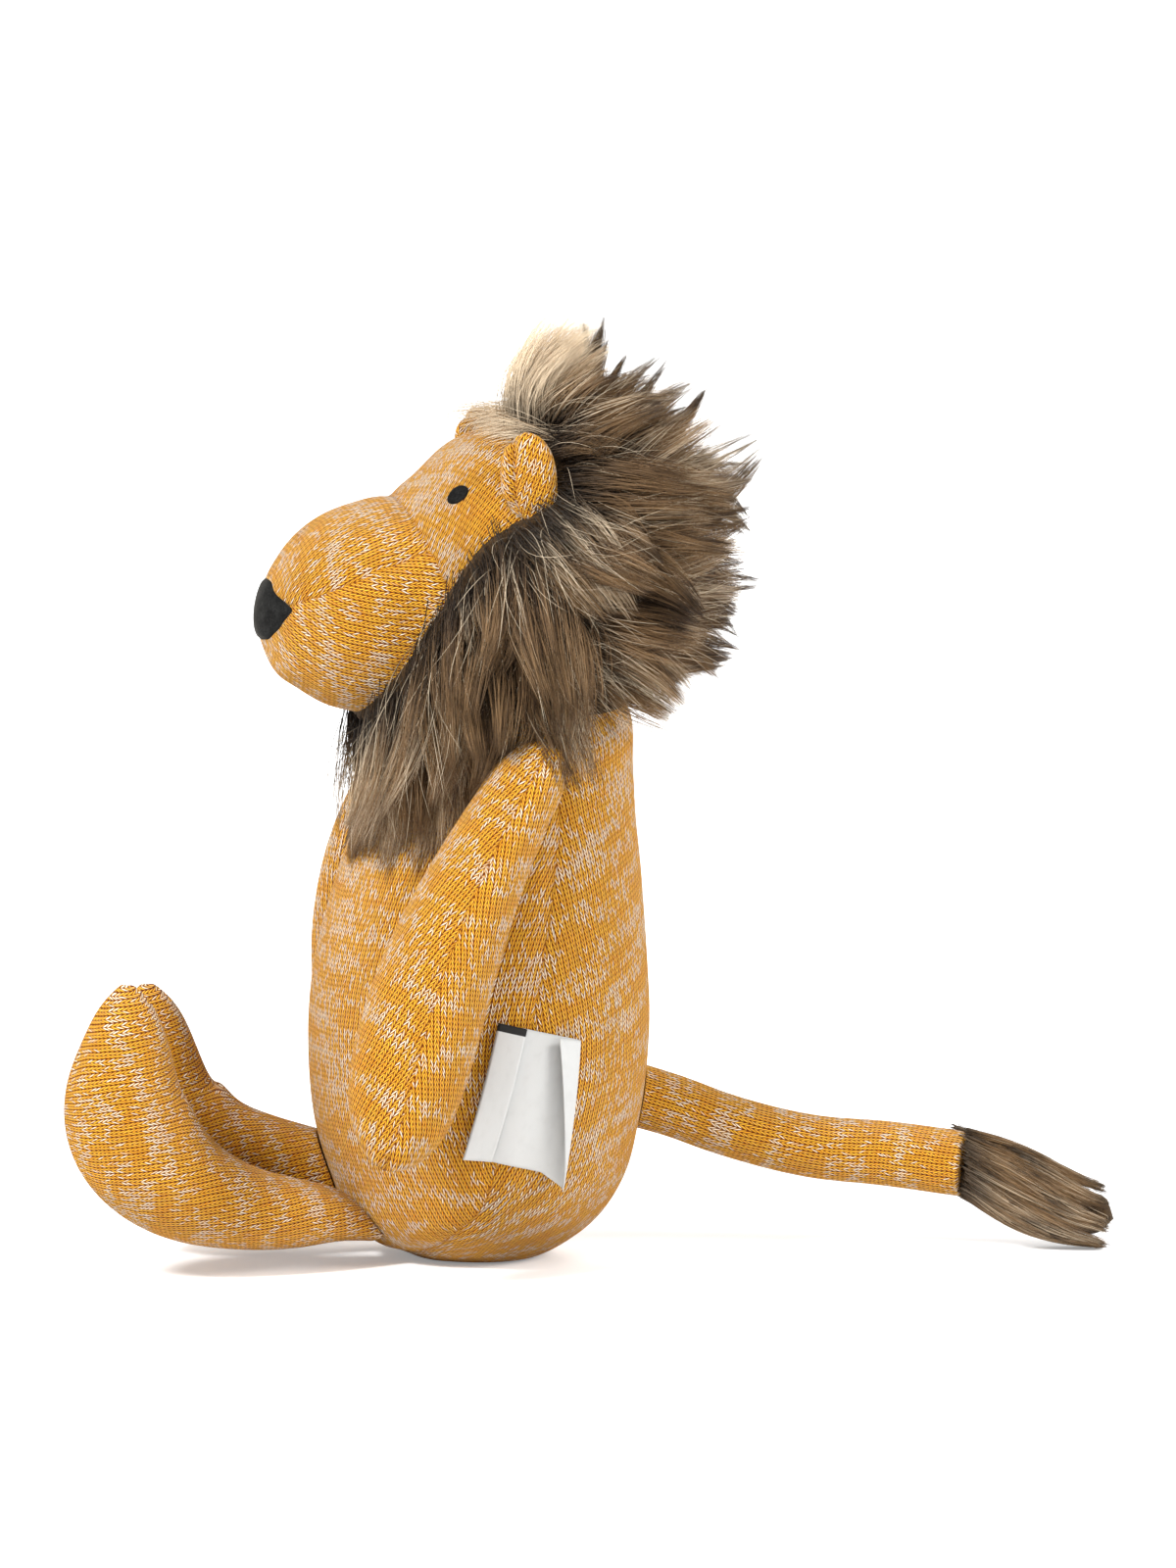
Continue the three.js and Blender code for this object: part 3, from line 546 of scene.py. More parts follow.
def tapeCloth(name, edge):
    # plain woven tape: warp and weft as two crossed waves on the piece's own map, dark up to the edge share
    # at its top
    material, tree, shader = newMaterial(name, 0.7, sheen=0.1, specular=0.25)
    uv = tree.nodes.new("ShaderNodeTexCoord").outputs["UV"]
    split = tree.nodes.new("ShaderNodeSeparateXYZ")
    tree.links.new(uv, split.inputs[0])
    warp = calc(tree, "SINE", calc(tree, "MULTIPLY", split.outputs[0], 420.0))
    weft = calc(tree, "SINE", calc(tree, "MULTIPLY", split.outputs[1], 700.0))
    weave = calc(tree, "ADD", 0.5, calc(tree, "MULTIPLY", calc(tree, "MULTIPLY", warp, weft), 0.5))
    soft = noiseAt(tree, uv, 9, 3)
    base = mixColour(tree, weave, linear(182, 182, 180), linear(198, 198, 196))
    base = mixColour(tree, calc(tree, "MULTIPLY", ramp(tree, soft, 0.45, 0.8), 0.25), base,
                     linear(168, 167, 165))
    dark = calc(tree, "LESS_THAN", split.outputs[1], edge)
    tree.links.new(mixColour(tree, dark, base, linear(24, 23, 22)), shader.inputs["Base Color"])
    addBump(tree, shader, weave, 0.12, 0.35)
    return material


# painted shade: the root colour lies low on each strand as the shade deep in the fur; the tip colour is the
# strand's own dark tip
pile = {"root": linear(24, 15, 8), "dark": linear(52, 35, 18), "middle": linear(136, 106, 72),
        "light": linear(238, 218, 188), "tip": linear(30, 18, 11), "groundDark": linear(34, 24, 15),
        "groundLight": linear(84, 64, 42)}


def longPile(spec):
    # each strand's own map: across it is its tone, above a half with a dark tip, and up it is root to tip
    material, tree, shader = newMaterial("longPile", 0.5, sheen=0.05, specular=0.2)
    uv = tree.nodes.new("ShaderNodeUVMap").outputs[0]
    split = tree.nodes.new("ShaderNodeSeparateXYZ")
    tree.links.new(uv, split.inputs[0])
    tipped = calc(tree, "GREATER_THAN", split.outputs[0], 0.5)
    tone = calc(tree, "FRACT", calc(tree, "MULTIPLY", split.outputs[0], 1.998))
    body = mixColour(tree, ramp(tree, tone, 0.0, 0.5), spec["dark"], spec["middle"])
    body = mixColour(tree, ramp(tree, tone, 0.45, 1.0), body, spec["light"])
    # painted shade: each strand darkens toward its root, as the fur is shaded near the head
    body = mixColour(tree, ramp(tree, split.outputs[1], 0.04, 0.68), spec["root"], body)
    tipDark = calc(tree, "MULTIPLY", ramp(tree, split.outputs[1], 0.62, 0.94), tipped)
    tree.links.new(mixColour(tree, calc(tree, "MULTIPLY", tipDark, 0.9), body, spec["tip"]),
                   shader.inputs["Base Color"])
    return material


def underFur(spec):
    # short dense ground fur below the long strands
    material, tree, shader = newMaterial("underFur", 0.95, sheen=0.1, specular=0.1)
    place = objectPlace(tree)
    stretched = tree.nodes.new("ShaderNodeMapping")
    stretched.inputs["Scale"].default_value = (1.0, 1.0, 0.3)
    tree.links.new(place, stretched.inputs[0])
    hair = noiseAt(tree, stretched.outputs[0], 900, 4, 0.7)
    tree.links.new(mixColour(tree, ramp(tree, hair, 0.3, 0.75), spec["groundDark"], spec["groundLight"]),
                   shader.inputs["Base Color"])
    addBump(tree, shader, hair, 0.8)
    return material


knit = melangeKnit(yarn)
felt = blackFelt()
tape = tapeCloth("tapeCloth", 0.0)
tapeEnd = tapeCloth("tapeClothEnd", 0.055)
fur = longPile(pile)
groundFur = underFur(pile)
print("materials made")


# stuffing
def swell(piece, pinned, pressure=4.0, cap=2.2, frames=20):
    # blows the cover up like a filled bag: Cloth with pressure, held at its seams, and no point moves past
    # the cap
    mesh = piece.data
    count = len(mesh.vertices)
    before = np.empty(count * 3, np.float32)
    mesh.vertices.foreach_get("co", before)
    group = piece.vertex_groups.new(name="held")
    group.add(np.nonzero(pinned)[0].tolist(), 1.0, "REPLACE")
    cloth = piece.modifiers.new("swell", "CLOTH")
    s = cloth.settings
    s.quality = 5
    s.mass = 0.3
    s.tension_stiffness = s.compression_stiffness = 30
    s.shear_stiffness = 12
    s.bending_stiffness = 2.0
    s.use_pressure = True
    s.uniform_pressure_force = pressure
    s.vertex_group_mass = "held"
    s.effector_weights.gravity = 0
    cloth.collision_settings.use_collision = False
    cloth.point_cache.frame_start, cloth.point_cache.frame_end = 1, frames
    scene = bpy.context.scene
    for at in range(1, frames + 1):
        scene.frame_set(at)
    shaped = piece.evaluated_get(bpy.context.evaluated_depsgraph_get()).data
    after = np.empty(count * 3, np.float32)
    shaped.vertices.foreach_get("co", after)
    piece.modifiers.remove(cloth)
    piece.vertex_groups.remove(group)
    move = (after - before).reshape(-1, 3)
    far = np.linalg.norm(move, axis=1, keepdims=True)
    move *= np.minimum(1, cap * mm / np.maximum(far, 1e-9))
    move[~np.isfinite(move).all(1)] = 0
    mesh.vertices.foreach_set("co", (before.reshape(-1, 3) + move).ravel())
    mesh.update()
    scene.frame_set(1)


def dress(piece, body, material, nodes=(), smoothLevel=1):
    # gives the piece its material in a slot, its smoothing and its body, and hides the nodes that it shows in
    # their place, its filling among them where it has one
    piece.data.materials.append(material)
    if smoothLevel:
        finer = piece.modifiers.new("finer", "SUBSURF")
        finer.levels = finer.render_levels = smoothLevel
    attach(piece, body)
    if nodes:
        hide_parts(*nodes)


# torso
torsoSet = {
    "height": 187.0, "depth": 108.0, "width": 110.0, "crown": 0.11, "along": 84, "around": 112,
    # height, front, back and half width, as shares of height, depth, depth and width
    "rows": [(0, 0.167, 0.157, 0.182), (0.027, 0.3, 0.255, 0.282), (0.064, 0.372, 0.335, 0.355),
             (0.128, 0.417, 0.408, 0.418), (0.225, 0.466, 0.452, 0.473), (0.321, 0.482, 0.475, 0.5),
             (0.4, 0.482, 0.482, 0.495), (0.487, 0.466, 0.476, 0.473), (0.583, 0.426, 0.466, 0.432),
             (0.647, 0.392, 0.458, 0.405), (0.717, 0.348, 0.446, 0.373), (0.802, 0.306, 0.439, 0.336),
             (0.893, 0.231, 0.43, 0.291), (0.963, 0.139, 0.352, 0.218)],
    "sideSeam": [(0.3, 1.1), (0.16, 0.72), (0.117, 0.583), (0.028, 0.364), (-0.074, 0.107), (-0.167, 0.043),
                 (-0.3, -0.02)],
}


def torsoShape(spec):
    # rows of height, the middle between front and back, and half sizes: (back - front) / 2 and (back +
    # front) / 2
    h, d, w = spec["height"], spec["depth"], spec["width"]
    rows = [(h * z, d * (b - f) / 2, 0, d * (b + f) / 2, w * s) for z, f, b, s in spec["rows"]]
    return makeForm(rows, (0, 0, 0, 0, 0), (h, d * spec["crown"], 0, 0, 0),
                    axes=((0, 0, 1), (1, 0, 0), (0, 1, 0)))


def makeTorso(spec, form):
    # one cover with a seam down each side, which runs straight up above 0.72 of the height
    rings = formRings(form, spec["along"], spec["around"])
    seamLine = [(spec["depth"] * x, spec["height"] * z) for x, z in spec["sideSeam"]]
    gap = gapToLine(rings[..., 0], rings[..., 2], seamLine)
    gap = np.where(rings[..., 2] > 0.72 * spec["height"], rings[..., 0] - 0.16 * spec["depth"], gap)
    front, back = spec["around"] // 2, 0
    frontArc = aroundArc(rings, front, True)[0]
    backArc = aroundArc(rings, back, True)[0]
    # on the back the rows climb toward the middle: rise = 0.34 * (sqrt(arc^2 + 15^2) - 15)
    climb = 0.34 * (np.sqrt(backArc**2 + 15**2) - 15)
    extra = {
        "panelOne": panel(frontArc, alongArc(rings, front), 0, 1.0),
        "panelTwo": panel(backArc, alongArc(rings, back) + climb, 0),
        "panelThree": panel(backArc, backArc),
        "seamGaps": seamPair(gap),
    }
    rings = sinkSeam(rings, normalsOf(rings), gap)
    rings[..., 2] = np.maximum(rings[..., 2], 0)
    piece = closedSkin("torsoCover", rings, extra)
    swell(piece, heldPoints((np.abs(gap) < 2.0) | (rings[..., 2] < 1.0), True), cap=1.3)
    dress(piece, "torso", knit, ("torso_front_panel", "torso_back_panel", "torso_filling"))


torsoForm = torsoShape(torsoSet)
makeTorso(torsoSet, torsoForm)
print("torso made")

# head
headSet = {
    "reach": 68.5, "length": 115.0, "height": 88.0, "width": 82.0, "chin": 166.0, "full": 2.2, "along": 84,
    "around": 104,
    # place along the head, underside, top and half width
    "rows": [(0.017, 0.25, 0.458, 0.11), (0.052, 0.16, 0.552, 0.195), (0.104, 0.11, 0.638, 0.256),
             (0.174, 0.055, 0.705, 0.305), (0.278, 0.02, 0.754, 0.348), (0.375, 0, 0.782, 0.378),
             (0.44, 0, 0.85, 0.415), (0.522, 0.011, 0.946, 0.463), (0.626, 0.034, 1, 0.5),
             (0.748, 0.068, 1, 0.5), (0.87, 0.159, 0.92, 0.415), (0.957, 0.284, 0.795, 0.28)],
    "tip": 0.352, "back": 0.534, "browAt": (0.362, 0.775), "browLean": 22.0, "lipAt": (0, 0.385),
    "lipLean": 23.0, "foreheadTilt": 32.0, "topTilt": 3.0, "lowTilt": -10.0,
}


def headShape(rows, start, length, foot, height, width, tip, back, fullness):
    # each row: place along the head, middle height, half width and half height, in millimetres from shares
    table = [(start + length * p, 0, foot + height * (low + high) / 2, width * half,
              height * (high - low) / 2) for p, low, high, half in rows]
    return makeForm(table, (start, 0, foot + height * tip, 0, 0),
                    (start + length, 0, foot + height * back, 0, 0), fullness)


def seamPlanes(spec, points):
    # signed distance behind the brow seam, and below the lip seam
    def place(at):
        return np.array([spec["length"] * at[0] - spec["reach"], 0, spec["chin"] + spec["height"] * at[1]])
    brow, lip = math.radians(spec["browLean"]), math.radians(spec["lipLean"])
    behind = (points - place(spec["browAt"])) @ np.array([math.cos(brow), 0, math.sin(brow)])
    below = (points - place(spec["lipAt"])) @ np.array([math.sin(lip), 0, -math.cos(lip)])
    return behind, below


def makeHead(spec, form):
    # one cover of three panels: skull, and upper and lower muzzle, with seams at the brow and the lip
    rings = formRings(form, spec["along"], spec["around"])
    behind, below = seamPlanes(spec, rings)
    top, low = spec["around"] // 4, 3 * spec["around"] // 4
    topArc, lowArc = aroundArc(rings, top, True)[0], aroundArc(rings, low, True)[0]
    topLong, lowLong = alongArc(rings, top), alongArc(rings, low)
    seam = np.where(behind > 0, behind, np.where(np.abs(behind) < np.abs(below), behind, below))
    extra = {
        "panelOne": panel(np.abs(topArc), topLong, spec["topTilt"]),
        "panelTwo": panel(np.abs(lowArc), lowLong, spec["lowTilt"], 0.4),
        "panelThree": panel(np.abs(topArc), topLong, spec["foreheadTilt"], 0.7),
        "seamGaps": np.stack([below, behind, seam], -1),
    }
    rings = sinkSeam(rings, normalsOf(rings), seam, 0.8, 1.8)
    rings = keepOut(torsoForm, rings, 0.4)
    piece = closedSkin("headCover", rings, extra)
    swell(piece, heldPoints((np.abs(seam) < 1.8) | (depthIn(torsoForm, rings, 6)[0] < 1), False), cap=1.0)
    dress(piece, "head", knit,
          ("head_panel", "muzzle_top_panel", "muzzle_lower_panel", "head_filling"))


headForm = headShape(headSet["rows"], -headSet["reach"], headSet["length"], headSet["chin"],
                     headSet["height"], headSet["width"], headSet["tip"], headSet["back"], headSet["full"])
makeHead(headSet, headForm)
print("head made")

# felt nose and eyes
feltSet = {
    "noseWidth": 35.0, "noseHeight": 18.5, "noseRise": 0.387, "thick": 1.0,
    "nose": [(0, 0.5), (0.32, 0.48), (1, 0.09), (0.84, -0.22), (0.45, -0.46), (0, -0.5)],
    "eyeLong": 7.2, "eyeTall": 5.7, "eyeTilt": 28.0, "eyeX": -11.0, "eyeY": 24.5, "eyeZ": 234.8,
    "eyeAim": (-0.35, 0.68, 0.66),
}


def feltPatch(name, outline, centre, across, up, toward, form, thick, rings=14):
    # the outline shrinks to its middle in rings; each point is set down on the form, and the top is domed
    # at its rim: rise = thick * sqrt(1 - r^6)
    r = np.linspace(1, 0, rings)
    flat = outline[None] * r[:, None, None]
    start = centre + flat[..., :1] * across + flat[..., 1:] * up - toward * 12
    under = landOn(form, start, toward, 40)
    lift = thick * np.sqrt(np.clip(1 - r**6, 0, 1))[:, None, None]
    top = under - toward * (lift + 0.15)
    grid = np.concatenate([under[::-1] + toward * 0.3, under[:1] - toward * 0.05, top])
    return closedSkin(name, grid)


def makeFelt(spec):
    # a rounded triangle for the nose and two tilted ovals for the eyes, each laid on the head
    half = np.array(spec["nose"]) * np.array([spec["noseWidth"] / 2, spec["noseHeight"]])
    corners = np.vstack([half, half[-2:0:-1] * np.array([-1, 1])])
    closed = np.vstack([corners, corners[:1]])
    lengths = lengthsAlong(closed)
    at = np.linspace(0, lengths[-1], 121)[:-1]
    outline = np.stack([np.interp(at, lengths, closed[:, k]) for k in (0, 1)], -1)
    for again in range(6):  # rounds the corners a little
        outline = 0.5 * outline + 0.25 * (np.roll(outline, 1, 0) + np.roll(outline, -1, 0))
    centre = np.array([-headSet["reach"] - 2, 0, headSet["chin"] + headSet["height"] * spec["noseRise"]])
    nose = feltPatch("noseFelt", outline, centre, np.array([0, 1.0, 0]), np.array([0, 0, 1.0]),
                     np.array([1.0, 0, 0]), headForm, spec["thick"])
    dress(nose, "head", felt, ("nose_patch",), 0)
    turn = np.linspace(0, 2 * np.pi, 41)[:-1]
    tilt = math.radians(spec["eyeTilt"])
    oval = np.stack([np.cos(turn) * spec["eyeLong"] / 2, np.sin(turn) * spec["eyeTall"] / 2], -1)
    oval = oval @ np.array([[math.cos(tilt), math.sin(tilt)], [-math.sin(tilt), math.cos(tilt)]])
    for name, side, node in (("eyeFeltLeft", -1, "eye_left"), ("eyeFeltRight", 1, "eye_right")):
        toward = -unit(np.array([spec["eyeAim"][0], side * spec["eyeAim"][1], spec["eyeAim"][2]]))
        across = unit(np.cross(np.array([0, 0, 1.0]), -toward) * -side)
        up = unit(np.cross(across, toward))
        up = up * np.sign(up[2])
        across = across * np.sign(across[0])
        place = np.array([spec["eyeX"], side * spec["eyeY"], spec["eyeZ"]])
        eye = feltPatch(name, oval, place, across, up, toward, headForm, 1.0, 8)
        dress(eye, "head", felt, (node,), 0)


makeFelt(feltSet)
print("felt made")

# arms
armSet = {
    "length": 141.0, "width": 35.5, "thick": 28.0, "drop": 163.0, "setback": 12.4, "spread": 46.5,
    "splay": 14.0,
    "left": {"lean": 22.5, "bow": 8.0, "back": -4.0, "early": 1.0},
    "right": {"lean": 18.0, "bow": 18.5, "back": 20.0, "early": 0.58}, "along": 84, "around": 56,
    "tilt": 17.0,
    "rows": [(0.02, 0.16, 0.2), (0.08, 0.3, 0.34), (0.18, 0.345, 0.39), (0.34, 0.41, 0.44),
             (0.52, 0.48, 0.485), (0.68, 0.515, 0.5), (0.81, 0.495, 0.48), (0.91, 0.4, 0.4),
             (0.975, 0.21, 0.22)],
}


def armShape(spec, side, pose):
    # the middle line bows forward and its end comes back: back * p^3 - bow * sin(pi p^early)
    splay = Matrix.Rotation(math.radians(side * spec["splay"]), 3, "X")
    turn = np.array(splay @ Matrix.Rotation(math.radians(pose["lean"]), 3, "Y"))
    length, width, thick = spec["length"], spec["width"], spec["thick"]
    bend = lambda p: pose["back"] * p**3 - pose["bow"] * math.sin(math.pi * p ** pose["early"])
    rows = [(length * p, bend(p), 0, width * a, thick * b) for p, a, b in spec["rows"]]
    return makeForm(rows, (0, 0, 0, 0, 0), (length, bend(1), 0, 0, 0),
                    origin=(spec["setback"], side * spec["spread"], spec["drop"]),
                    axes=(-turn[:, 2], turn[:, 0], turn[:, 1]))


def makeArm(name, body, nodes, spec, form, side):
    # one cover with a front and a back panel, seamed down the arm's inner and outer side
    rings = formRings(form, spec["along"], spec["around"])
    local = (rings - form["origin"]) @ form["axes"].T
    middle = rings.mean(1, keepdims=True)
    gap = (rings - middle) @ form["axes"][1]
    outer = spec["around"] // 4 if side > 0 else 3 * spec["around"] // 4
    onward, total = aroundArc(rings, outer, False)
    ahead = onward if side > 0 else total - onward  # grows from the outer seam over the front
    ahead = np.where(np.isclose(ahead, total), 0, ahead)
    behindArc = np.where(ahead > 0, total - ahead, 0)
    long = local[..., 0]
    extra = {
        "panelOne": panel(ahead, long, -spec["tilt"]),
        "panelTwo": panel(behindArc, long, -spec["tilt"], 0.9),
        "panelThree": panel(ahead, long),
        "seamGaps": seamPair(gap),
    }
    rings = sinkSeam(rings, normalsOf(rings), gap, 0.7, 1.8)
    rings = keepOut(torsoForm, rings, 0.5)
    piece = closedSkin(name, rings, extra)
    swell(piece, heldPoints((np.abs(gap) < 1.2) | (depthIn(torsoForm, rings, 3)[0] < 1), False), cap=1.0)
    dress(piece, body, knit, nodes)


armLeftForm = armShape(armSet, -1, armSet["left"])
armRightForm = armShape(armSet, 1, armSet["right"])
makeArm("armLeftCover", "left_arm", ("arm_left_front_panel", "arm_left_back_panel", "arm_left_filling"),
        armSet, armLeftForm, -1)
makeArm("armRightCover", "right_arm", ("arm_right_front_panel", "arm_right_back_panel", "arm_right_filling"),
        armSet, armRightForm, 1)
print("arms made")

# legs
legSet = {
    # arch lifts the middle line by so much at full archAt, and stout widens each row's half thickness
    "reach": 79.5, "rise": 80.5, "thick": 40.0, "width": 34.0, "hip": 9.0, "spread": 24.0, "edge": 4.4,
    "along": 92, "around": 56,
    "left": {"setback": 33.0, "raise": 0.0, "yaw": 4.0, "arch": 0.0, "stout": (1, 1, 1, 1, 1, 1, 1, 1, 1)},
    "right": {"setback": 13.5, "raise": -4.0, "yaw": -6.0, "arch": 6.0,
              "stout": (1, 1.3, 1.4, 1.4, 1.22, 1.12, 1.06, 1.0, 1.0)},
    # reach and rise of the middle, half thickness and half width; inward is how far the hip end lies under
    # the body
    "rows": [(0, 0, 0.053, 0.2), (0.164, 0.085, 0.2, 0.3), (0.34, 0.1, 0.26, 0.39),
             (0.579, 0.139, 0.32, 0.455), (0.882, 0.275, 0.455, 0.5), (1.052, 0.515, 0.51, 0.49),
             (1.038, 0.745, 0.36, 0.42), (1.031, 0.91, 0.245, 0.3), (1.031, 0.968, 0.19, 0.22)],
    "inward": (12.0, 9.0, 5.0, 2.0, 0.0, 0.0, 0.0, 0.0, 0.0),
    "archAt": (0.6, 1.0, 1.0, 1.0, 0.5, 0.1, 0.0, 0.0, 0.0), "toe": (1.027, 1.006), "tilt": -7.0,
    "easing": 44,
}


def makeLeg(name, body, nodes, spec, pose, side):
    # rings ride on a curved middle line; each lies square to it
    rows = np.array([(-spec["reach"] * a, spec["rise"] * b, max(spec["thick"] * t, spec["edge"] / 2),
                      spec["width"] * w, -side * inward)
                     for (a, b, t, w), inward in zip(spec["rows"], spec["inward"])])
    rows[:, 2] *= np.array(pose["stout"])
    rows[:, 1] += pose["arch"] * np.array(spec["archAt"])
    toe = np.array([-spec["reach"] * spec["toe"][0], spec["rise"] * spec["toe"][1], 0, 0, 0])
    mirrored = rows[-1] * np.array([1, 1, -1, -1, 1])
    table = np.vstack([rows, toe, mirrored])
    knots = lengthsAlong(table, np.array([1, 1, 0.7, 0.7, 0.7]))
    share = np.linspace(0, knots[-2], spec["along"] - 1)
    line = through(knots, table, share)
    line[-1, 2:4] = 0
    ahead = unit(np.gradient(line[:, :2], axis=0))
    up = np.stack([ahead[:, 1], -ahead[:, 0]], -1)
    up = np.where(up[:1, 1:] < 0, -up, up)
    # the middle line at the toe keeps its last square direction
    up[-2:] = up[-3]
    turn = 2 * np.pi * np.arange(spec["around"]) / spec["around"]
    cos, sin = np.cos(turn), np.sin(turn)
    local = np.stack([line[:, :1] + up[:, :1] * line[:, 2:3] * sin, line[:, 4:] + line[:, 3:4] * cos,
                      line[:, 1:2] + up[:, 1:] * line[:, 2:3] * sin], -1)
    # rows that crowd at the instep are eased apart: each moves halfway to the mean of its neighbours
    for again in range(spec["easing"]):
        local[2:-2] = 0.5 * local[2:-2] + 0.25 * (local[1:-3] + local[3:-1])
    local = np.concatenate([drawnIn(local[:1], spec["around"]), local])
    line, up = np.vstack([line[:1], line]), np.vstack([up[:1], up])
    half = spec["around"] // 2
    plus, minus = aroundArc(local, 0, True)[0], -aroundArc(local, half, True)[0]
    # the knit lies flat on each side, and keeps its length where the surface turns over toward a seam
    rise = (local[..., 0] - line[:, :1]) * up[:, :1] + (local[..., 2] - line[:, 1:2]) * up[:, 1:]
    flatX = lambda arc: local[..., 0] + up[:, :1] * (arc - rise)
    flatZ = lambda arc: local[..., 2] + up[:, 1:] * (arc - rise)
    gap = -(local[..., 1] - line[:, 4:])
    extra = {
        "panelOne": panel(flatZ(plus), flatX(plus), spec["tilt"]),
        "panelTwo": panel(flatZ(minus), flatX(minus), spec["tilt"], 0.8),
        "panelThree": panel(flatZ(plus), flatX(plus)),
        "seamGaps": seamPair(gap),
    }
    move = (Matrix.Translation((-pose["setback"], side * spec["spread"], spec["hip"]))
            @ Matrix.Rotation(math.radians(-side * pose["yaw"]), 4, "Z")
            @ Matrix.Rotation(math.radians(pose["raise"]), 4, "Y"))
    move = np.array(move)
    rings = local @ move[:3, :3].T + move[:3, 3]
    rings = sinkSeam(rings, normalsOf(rings), gap, -0.5, 1.2)
    rings = keepOut(torsoForm, rings, 0.5)
    piece = closedSkin(name, rings, extra)
    step = np.linalg.norm(np.diff(rings, axis=0), axis=2)
    crowded = np.minimum(step[1:], step[:-1]) < 0.75
    pinned = crowded | (np.abs(gap[1:-1]) < 1.2) | (depthIn(torsoForm, rings[1:-1], 4)[0] < 1)
    swell(piece, np.concatenate([[True], pinned.ravel(), [True]]), cap=1.0)
    dress(piece, body, knit, nodes)


makeLeg("legLeftCover", "left_leg", ("leg_left_outer_panel", "leg_left_inner_panel", "leg_left_filling"),
        legSet, legSet["left"], -1)
makeLeg("legRightCover", "right_leg",
        ("leg_right_outer_panel", "leg_right_inner_panel", "leg_right_filling"), legSet, legSet["right"], 1)
print("legs made")

# tail
tailSet = {
    "root": (51.0, 0.0, 47.3), "length": 97.0, "drop": 21.3, "bow": 20.0, "radius": 10.1, "along": 84,
    "around": 36,
    # place along, drop, sideways bow and radius
    "rows": [(-0.08, -0.1, 0, 0.98), (0.1, 0.16, 0, 0.95), (0.26, 0.44, 0.03, 0.94), (0.54, 0.78, 0.2, 0.96),
             (0.77, 0.88, 0.5, 0.99), (1, 1, 1, 1)],
    "tuftLength": 45.0, "tuftDrop": 17.2, "tuftBow": 8.0, "tuftRadius": 13.0,
    "tuft": [(0.0, 0.0, 0.82), (0.22, 0.27, 0.95), (0.44, 0.51, 0.97), (0.62, 0.7, 0.9), (0.8, 0.86, 0.78),
             (0.93, 0.95, 0.62)],
}


def tubeRings(centres, radii, around):
    # a circle of each radius, square to the path through the centres
    ahead = unit(np.gradient(centres, axis=0))
    up = unit(np.cross(ahead, np.array([0, 1.0, 0])))
    up = up * np.sign(up[:, 2:])
    across = np.cross(up, ahead)
    turn = 2 * np.pi * np.arange(around) / around
    return (centres[:, None] + radii[:, None, None]
            * (across[:, None] * np.cos(turn)[:, None] + up[:, None] * np.sin(turn)[:, None]))


def makeTail(spec):
    # a tube along the rows' curve, seamed underneath; gives back where it ends
    rows = np.array(spec["rows"])
    centres = np.array(spec["root"]) + np.stack([spec["length"] * rows[:, 0], -spec["bow"] * rows[:, 2],
                                                 -spec["drop"] * rows[:, 1]], -1)
    table = np.column_stack([centres, spec["radius"] * rows[:, 3]])
    knots = lengthsAlong(centres)
    line = through(knots, table, np.linspace(0, knots[-1], spec["along"] - 2))
    rings = tubeRings(line[:, :3], line[:, 3], spec["around"])
    rings = np.concatenate([drawnIn(rings[:1], spec["around"]), rings, drawnIn(rings[-1:], spec["around"])])
    top = spec["around"] // 4
    onward, total = aroundArc(rings, top, False)
    gap = (rings - rings.mean(1, keepdims=True))[..., 1]
    long = alongArc(rings, top)
    under = rings[..., 2] < rings.mean(1, keepdims=True)[..., 2]
    seam = np.where(under, gap, 1000.0)
    extra = {
        "panelOne": panel(total - onward, long),
        "panelTwo": panel(-onward, long),
        "panelThree": panel(onward, long),
        "seamGaps": seamPair(-gap, np.clip(seam, -30, 30)),
    }
    rings = keepOut(torsoForm, rings, 0.4)
    piece = closedSkin("tailCover", rings, extra)
    swell(piece, heldPoints(depthIn(torsoForm, rings, 3)[0] < 1, True), cap=0.8)
    dress(piece, "tail", knit, ("tail_panel", "tail_filling"))
    return line[-1, :3]


tailEnd = makeTail(tailSet)
print("tail made")

# ears
earSet = {"height": 33.0, "width": 17.0, "thick": 10.0, "setback": 8.5, "spread": 35.5, "rise": 240.0,
          "lean": 14.0, "turn": 24.0, "along": 40, "around": 44}


